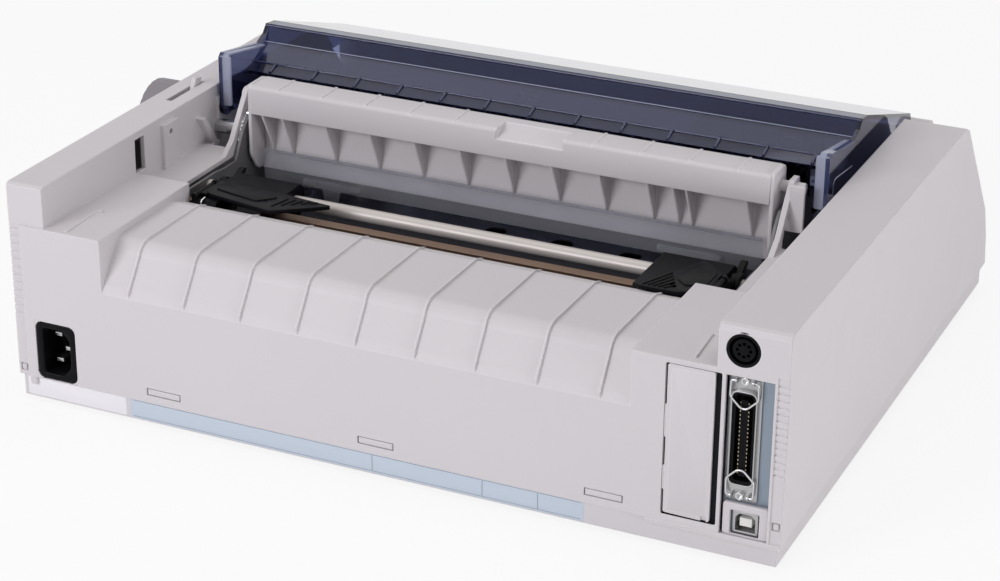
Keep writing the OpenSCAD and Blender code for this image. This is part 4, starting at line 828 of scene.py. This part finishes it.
wall_line = turned([(168.7, 121.4), (168.7, 86), (168.0, 78.4), (165.4, 73.8)], 6.0, 6,
                   closed=False)
guide_wall = sheet("guide_wall", wall_line, SEP_L + 0.4, SEP_R - 0.4, 1.5, 0.2)
parts = [cut(bar, scoop), recess, guide_wall] + cheeks
print("bar and wall", sum(len(p.data.polygons) for p in parts), "faces")

# %% [markdown]
# The webs are one plate, copied along the bar at an even pitch, with a few odd ones
# beside the clips. The small ribs on top are another. The end plates carry the two pegs
# that the separator swings on.

# %% Webs, top ribs and end plates
def copies(piece, name, places):
    """Copies of a finished piece, each moved across. The pattern itself is removed."""
    made = []
    for u in places:
        only(piece)
        bpy.ops.object.duplicate()
        bpy.context.object.location.x = -u * MM
        made.append(settle(bpy.context.object, name))
    bpy.data.objects.remove(piece)
    return made


FIRST_WEB, WEB_PITCH, WEB_COUNT = 64.8, 25.65, 9
ODD_WEBS = [53.0, 283.6, 290.6, 321.8]
TOP_RIB_PITCH = 25.4
PEG_V, PEG_Z, PEG_R = 168, 113, 2.98
web_shape = turned([(155.3, 109.0), (168.6, 109.0), (168.6, 82.4), (167.2, 83.2),
                    (163.2, 92.4), (155.5, 107.0)], 1.0, 3)
parts += copies(plate("web", web_shape, "u", -0.6, 0.6, 0.2), "web",
                [FIRST_WEB + k * WEB_PITCH for k in range(WEB_COUNT)] + ODD_WEBS)
top_rib = plate("top_rib", turned([(154.3, 121.0), (154.9, 123.3), (172.3, 123.3),
                                   (173.0, 121.4)], 0.6), "u", -0.55, 0.55, 0.15)
parts += copies(top_rib, "top_rib", [SEP_MID + k * TOP_RIB_PITCH for k in range(-5, 6)
                                     if k not in (0, 1)])
end_shape = turned([(154.6, 84.0), (154.6, 121.2), (156.4, 123.3), (170.6, 123.3),
                    (173.0, 121.0), (173.0, 86.0), (167.0, 74.0), (161.0, 74.4)], 2.4, 5)
parts += [plate("end", end_shape, "u", a, b, 0.4, 3)
          for a, b in ((SEP_L - 1.8, SEP_L + 0.1), (SEP_R - 0.1, SEP_R + 1.8))]
parts += [rod("peg", (a, PEG_V, PEG_Z), (b, PEG_V, PEG_Z), PEG_R, 0.8)
          for a, b in ((SEP_L - 11.8, SEP_L), (SEP_R, SEP_R + 13.8))]
separator = join("paper_separator_moulding", parts)
dress(separator, "case_plastic", "separator", ["paper_separator"])
print("separator", len(separator.data.polygons), "faces")

# %% [markdown]
# A clear film hangs from the webs and keeps the paper off the platen's rollers. It is a
# thin bent sheet, and the light catches its upper hem. Moulded clear clips with a tongue
# hold it.

# %% Clear film and its clips
FILM_L, FILM_R = SEP_L + 4, SEP_R - 4
hang = turned([(159.1, 87.2), (159.5, 80.0), (160.2, 74.0), (160.6, 69.1)], 3.0, closed=False)
parts = [sheet("curtain", hang, FILM_L, FILM_R, 0.45),
         sheet("hem", [(158.9, 87.6), (158.94, 86.7), (158.98, 85.8)], FILM_L, FILM_R, 0.7, 0.1)]
for u in (92.0, 292.4):
    clip = [(u - 17, 74.6), (u + 17, 74.6), (u + 17, 71.6), (u + 5.4, 70.6), (u + 4, 64.2),
            (u - 4, 64.2), (u - 5.4, 70.6), (u - 17, 71.2)]
    parts.append(plate("clip", turned(clip, 1.2, 3), "v", 158.0, 158.9, 0.25))
curtain = join("separator_film_sheet", parts)
dress(curtain, "clear_film", "separator", ["separator_film"])
print("film", len(curtain.data.polygons), "faces")

# %% [markdown]
# ## Paper tractors
#
# Each tractor is a black moulded block on the square shaft and the round rod. Its lid
# swings on a pin at the outer side. The lids are flat plates with a raised panel, slots
# that show the pins below, and a comb of ribs that the paper slides over.

# %% Lids
LID_TOP = 90.0
PIN_Z = 89


def lid(name, shape, panel, slots, ribs, hinge_u, body):
    """shape, panel and slots are outlines from above, and ribs are pairs of ends."""
    base = plate("base", turned(shape, 2.2), "z", LID_TOP - 2, LID_TOP, 0)
    base = cut(base, *[plate("slot", turned(s, 0.8, 3), "z", LID_TOP - 3, LID_TOP + 2, 0)
                       for s in slots])
    parts = [soften(base, 0.45, 3),
             plate("panel", turned(panel, 1.6), "z", LID_TOP - 0.2, LID_TOP + 0.7, 0.4)]
    for a, b in ribs:
        a, b = Vector(a), Vector(b)
        side = (b - a).normalized().orthogonal() * 0.45
        parts.append(plate("rib", [a - side, b - side, b + side, a + side], "z",
                           LID_TOP - 0.2, LID_TOP + 0.55, 0.2))
    parts.append(rod("barrel", (hinge_u, 84, PIN_Z), (hinge_u, 100, PIN_Z), 1.35))
    parts.append(rod("pin", (hinge_u, 81.2, PIN_Z), (hinge_u, 102.4, PIN_Z), 0.8, 0.1, 16))
    inner = hinge_u + (4.4 if hinge_u < SEP_MID else -4.4)
    parts.append(block("strap", (hinge_u, 86, 88.2), (inner, 98.6, 89.6)))
    return dress(join(name, parts), "black_plastic", body, [body])


near = lid("near_tractor_lid",
           [(57.8, 90), (61, 86), (100, 79), (125, 98), (61, 106), (57.8, 106)],
           [(62, 92), (88, 86.6), (96, 95), (90, 100.6), (62, 104)],
           [[(66, 97), (80, 94.6), (80.4, 96.6), (66.4, 99)],
            [(84, 91), (92, 89.6), (92.4, 91.4), (84.4, 92.8)]],
           [((98 + 4 * k, 84.5 + 2.9 * k), (101 + 4 * k, 96.5 + 0.4 * k)) for k in range(5)],
           55.6, "near_lid")
far = lid("far_tractor_lid",
          [(329.2, 84), (325, 80.5), (317, 76), (297, 76), (307, 97), (316, 117), (329.2, 106)],
          [(327.4, 88), (318, 84), (312, 90), (318, 110), (327.4, 104)],
          [[(320, 90), (324.6, 90), (324.6, 99), (321.4, 99)],
           [(310, 84), (314, 80), (315, 82), (311.6, 86.4)]],
          [((299.6 + 2.6 * k, 77.6), (307.6 + 1.6 * k, 95.6 - 3.2 * k)) for k in range(5)],
          331.4, "far_lid")
print("lids", len(near.data.polygons), len(far.data.polygons), "faces")

# %% [markdown]
# A knob clamps each tractor to the rod: a ring on the rod, a fatter rim for the fingers,
# and a thumb arm that leans back a little. Each part is cut before they are joined,
# because a cut is only sure on one closed shell. A small wire spring lifts the near lid.

# %% Clamp knobs and the lid spring
ROD_V, ROD_Z = 116, 80
ARM_LEAN = math.radians(25)
arm_line = [(4, -1.7), (15, -1.3), (16.8, 0.0), (15, 1.5), (4, 1.7)]
arm_shape = turned([(ROD_V + x * math.cos(ARM_LEAN) - y * math.sin(ARM_LEAN),
                     ROD_Z + x * math.sin(ARM_LEAN) + y * math.cos(ARM_LEAN))
                    for x, y in arm_line], 0.8, 3)


def on_rod(name, u0, u1, radius, bevel):
    return rod(name, (u0, ROD_V, ROD_Z), (u1, ROD_V, ROD_Z), radius, bevel, 40)


def clamp(name, u0, u1, rim0, rim1, body):
    bores = [on_rod("bore", u0 - 9, u1 + 9, 3.55, 0) for _ in range(2)]
    parts = [cut(on_rod("ring", u0, u1, 5.9, 0.5), bores[0]),
             cut(on_rod("rim", rim0, rim1, 6.6, 1.2), bores[1]),
             plate("arm", arm_shape, "u", u0, u1, 0.5, 3)]
    dress(join(name, parts), "black_plastic", body, [body])


clamp("near_clamp_knob", 54.0, 57.2, 50.6, 54.6, "near_lock")
clamp("far_clamp_knob", 329.8, 333.0, 332.4, 335.4, "far_lock")
spring_line = [(60.4, 83.6, 88.3), (60.4, 79.9, 88.0), (60.2, 79.7, 82.0), (62.4, 79.7, 80.6)]
spring = wire("lid_spring", turned(spring_line, 1.0, closed=False), 0.5)
dress(spring, "bright_steel", "near_tractor")
print("2 clamp knobs and a spring")

# %% [markdown]
# ## Cover
#
# The smoky cover keeps its solid and its see-through finish. Where the real moulding is
# thickest, along its ridge and the folds below it, it looks nearly navy. Those folds get
# a thin bead of the same plastic in a deeper tone, and the tear-off lip gets its row of
# ribs. The step below the ridge catches the light, so its bead is pale. Three clear
# finger tabs sit on the fold.

# %% Beads, ribs and tabs
COVER_L, COVER_R = 21.6, 359.5
RIB_LINE = [(190.8, 117.4), (194.4, 118.6), (198.2, 119.8)]
TAB_Z = 120.75
deep = finish("deep smoky bead", srgb(44, 48, 84), 0.16, grain=(500, 0.02), drift=0.1,
              rub_and_highlight=0.05, radius=0.2)
pale = finish("lit smoky fold", srgb(128, 134, 158), 0.2, grain=(500, 0.02), drift=0.08,
              rub_and_highlight=0.1, radius=0.2)


def bead(name, v, z, inset, radius):
    """A straight bead across the cover. Its middle place keeps the line open."""
    return wire(name, [(u, v, z) for u in (COVER_L + inset, SEP_MID, COVER_R - inset)], radius)


parts = [bead("ridge_bead", 216.8, 134.0, 0.3, 0.75), bead("fold_bead", 198.4, 119.6, 1.4, 0.7)]
parts += [wire("lip_rib", [(SEP_MID + k * TOP_RIB_PITCH, v, z) for v, z in RIB_LINE], 0.8)
          for k in range(-6, 7)]
beads = join("cover_beads", parts)
dress(beads, "smoky_plastic", "access_cover", look=deep)
step = bead("step_bead", 211.7, 126.6, 0.6, 0.35)
dress(step, "smoky_plastic", "access_cover", look=pale)
tabs = [frame_plate("tab", around(u, TAB_Z, 5.5, 1.85, 0.9, 3),
                    around(u, TAB_Z, 3.6, 0.85, 0.5, 3), "v", 206.2, 207.6)
        for u in (34.0, 183.0, 327.0)]
dress(join("cover_tabs", tabs), "smoky_plastic", "access_cover", look=looks["clear_film"])
print("cover beads", len(beads.data.polygons), "faces and", 3, "tabs")

# %% [markdown]
# The cover's end walls carry a flange along their rear edge and another along the top,
# and a thin rib on the outside. Light runs along such thin edges, so they look much
# paler than the roof.

# %% Flanges of the end walls
FLANGE_W = 6.9
pale_edge = see_through("pale smoky edge", (0.80, 0.82, 0.92, 1), (0.62, 0.65, 0.78, 1),
                        0.1, 0.42)
top_line = turned([(166.4, 131.2), (168.2, 132.9), (205.6, 126.6)], 1.5, 3, closed=False)
flanges = []
for u0, top_shift, rib_inset in ((21.7, 0.0, 0.2), (352.5, 1.6, FLANGE_W - 0.2)):
    u1 = u0 + FLANGE_W
    rib_u = u0 + rib_inset
    rib_line = [(rib_u, 174, 105.5), (rib_u, 174, 118), (rib_u, 204, 114.5)]
    flanges += [plate("rear_flange", box_shape(u0, 104.6, u1, 132.2, 1.2, 3), "v",
                      165.9, 167.3),
                sheet("top_flange", top_line, u0 + top_shift, u1 - 1.6 + top_shift, 0.9, 0.15),
                wire("wall_rib", turned(rib_line, 4, closed=False), 0.5)]
flanges = join("cover_flanges", flanges)
dress(flanges, "smoky_plastic", "access_cover", look=pale_edge)
print("cover flanges", len(flanges.data.polygons), "faces")

# %% [markdown]
# ## Knob, switch and control panel
#
# The platen knob has a fluted grip and a dished face. The flutes come from one formula:
# the radius dips by under half a millimetre every fifteen degrees. The dish, the hollow
# back and the bore are cut out, and a hub and a marker are laid in the dish.

# %% Platen knob
KNOB_V, KNOB_Z, KNOB_R = 165.5, 93.0, 19.9
FLUTES, FLUTE_STEPS, FLUTE_DEPTH = 24, 6, 0.4


def flute(i):
    t = 2 * math.pi * i / (FLUTES * FLUTE_STEPS)
    r = KNOB_R - FLUTE_DEPTH * max(0, math.cos(FLUTES * t)) ** 3
    return KNOB_V + r * math.cos(t), KNOB_Z + r * math.sin(t)


def on_axis(name, u0, u1, radius, bevel, sides):
    return rod(name, (u0, KNOB_V, KNOB_Z), (u1, KNOB_V, KNOB_Z), radius, bevel, sides)


grip = plate("grip", [flute(i) for i in range(FLUTES * FLUTE_STEPS)], "u", -18.4, -0.8, 1.4, 4)
grip = cut(grip, on_axis("dish", -20, -17.2, 15.6, 0.4, 96), on_axis("back", -2.6, 0, 17.4, 0, 96),
           on_axis("bore", -8.2, 1, 4.2, 0, 40))
marker = block("marker", (-17.7, KNOB_V - 0.8, KNOB_Z + 8), (-17.1, KNOB_V + 0.8, KNOB_Z + 13.6),
               0.2)
knob = join("platen_knob_grip", [grip, on_axis("hub", -18.0, -17.0, 5.8, 0.5, 64), marker])
dress(knob, "knob_plastic", "knob", ["platen_knob"])
print("knob", len(knob.data.polygons), "faces")

# %% [markdown]
# The rocker of the power switch is one outline in cross section, with a dished face,
# drawn out to its width. It turns on a stub inside, and a flat bezel frames it.

# %% Power switch
SWITCH_V, SWITCH_Z, ROCKER_HALF = 306.0, 38.0, 5.9
rocker_line = turned([(0.4, 28.8), (1.3, 33.4), (1.7, 38.0), (1.1, 42.6), (0.35, 47.2),
                      (5.0, 47.7), (5.0, 28.3)], 0.7, 3)
rocker = plate("rocker", rocker_line, "v", SWITCH_V - ROCKER_HALF, SWITCH_V + ROCKER_HALF,
               0.3, 3)
stub = rod("stub", (5, SWITCH_V - ROCKER_HALF, SWITCH_Z), (5, SWITCH_V + ROCKER_HALF, SWITCH_Z),
           1.95)
rocker = join("rocker_switch", [rocker, stub])
dress(rocker, "black_plastic", "power_switch", ["power_switch"])
bezel = frame_plate("switch_bezel", around(SWITCH_V, SWITCH_Z, 7.6, 11.8, 1.4),
                    around(SWITCH_V, SWITCH_Z, 6.35, 10.4, 0.6), "u", -0.7, 0.1)
dress(bezel, "black_plastic")
print("rocker", len(rocker.data.polygons), "faces, and its bezel")

# %% [markdown]
# The control panel lies on a sloping face, so a short function turns a distance down the
# face and a height off it into a place, and every panel piece is made with it. A raised
# rim runs round the panel and round each button's well.

# %% Control panel
FACE_HIGH, FACE_LOW = Vector((328, 94)), Vector((340, 52))
ALONG = (FACE_LOW - FACE_HIGH).normalized()
OUTWARD = Vector((-ALONG.y, ALONG.x))
BUTTON_U, BUTTON_PITCH = 40, 24
BUTTONS = ["select_button", "line_feed_button", "form_feed_button"]
BUTTON_PLACES = [BUTTON_U + k * BUTTON_PITCH for k in range(len(BUTTONS))]
LAMP_PLACES = range(106, 131, 8)


def face_piece(name, across, down, out, bevel=0.2):
    """A block on the sloping face, between two places across, down and off it."""
    corners = [FACE_HIGH + ALONG * down[a] + OUTWARD * out[b]
               for a, b in ((0, 0), (1, 0), (1, 1), (0, 1))]
    return plate(name, corners, "u", *across, bevel, 3)


def rim_of(name, across, down, out, end):
    """Four bars round a field of the face: two along it and two down it."""
    (u0, u1), (s0, s1) = across, down
    return [face_piece(name, (u0 + end, u1 - end), (s0, s0 + 0.8), out),
            face_piece(name, (u0 + end, u1 - end), (s1 - 0.8, s1), out),
            face_piece(name, (u0, u0 + 0.8), down, out),
            face_piece(name, (u1 - 0.8, u1), down, out)]


rims = rim_of("rim", (25.8, 136.2), (3.8, 30.2), (0.0, 0.6), 0.2)
for u in BUTTON_PLACES:
    rims += rim_of("well", (u - 9.6, u + 9.6), (10.0, 22.0), (0.1, 0.55), 0)
rims = join("panel_rims", rims)
dress(rims, "panel_plastic")
print("rims of the panel and", len(BUTTONS), "wells:", len(rims.data.polygons), "faces")

# %% [markdown]
# A button is a rounded cap with a raised bar for the finger, and a flange under the
# panel that keeps it in. The three are alike, so one is made and copied. Four green
# lenses stand in a row, and short white marks lie above the lenses and below the buttons.

# %% Buttons, lenses and marks
first = join("button_cap", [face_piece(name, (BUTTON_U - half, BUTTON_U + half), down, out, bevel)
                            for name, half, down, out, bevel in (
                                ("cap", 7.9, (11.6, 20.4), (-3.9, 1.7), 1.1),
                                ("flange", 9.4, (10.1, 21.9), (-5.5, -4.0), 0.3),
                                ("bar", 3, (15.6, 16.4), (1.6, 1.95), 0.15))])
caps = copies(first, "cap", [u - BUTTON_U for u in BUTTON_PLACES])
for cap, body in zip(caps, BUTTONS):
    dress(called(cap, body + "_cap"), "button_plastic", body, [body])

lamp_green = finish("green lamp lens", srgb(104, 150, 96), 0.18, grain=(300, 0.02), drift=0.06,
                    rub_and_highlight=0.1, radius=0.1)
lenses = [face_piece("lens", (u - 1.8, u + 1.8), (10.15, 11.85), (-0.6, 0.45), 0.4)
          for u in LAMP_PLACES]
dress(join("lamp_lenses", lenses), "clear_film", look=lamp_green)
marks = [face_piece("mark", (u - half, u + half), down, (0.18, 0.24), 0)
         for places, half, down in ((LAMP_PLACES, 2.2, (14.0, 14.6)),
                                    (BUTTON_PLACES, 5, (25.0, 25.7))) for u in places]
dress(join("panel_marks", marks), "white_plastic")
print(len(caps), "caps,", len(lenses), "lenses and", len(marks), "marks")

# %% [markdown]
# ## Shelves beside the chute
#
# The two shelves have a low moulded bead that hooks round at its inner end, where a
# paper rest clips in. It is a thin wire shape, half sunk in the shelf.

# %% Hooked beads
SHELF_Z = 95.0
beads = []
for radius, line in ((0.95, [(31.9, 2), (30.7, 28.7), (31.4, 31.2), (34.4, 31.0)]),
                     (0.85, [(353.4, 4), (351.7, 30.0), (355.0, 30.4)])):
    line = turned([(u, v, SHELF_Z) for u, v in line], 1.6, closed=False)
    beads.append(wire("bead", line, radius))
beads = join("shelf_beads", beads)
dress(beads, "case_plastic")
print("shelf beads", len(beads.data.polygons), "faces")

# %% [markdown]
# ## Sizes
#
# This cell only imports json.

# %% Import json
import json
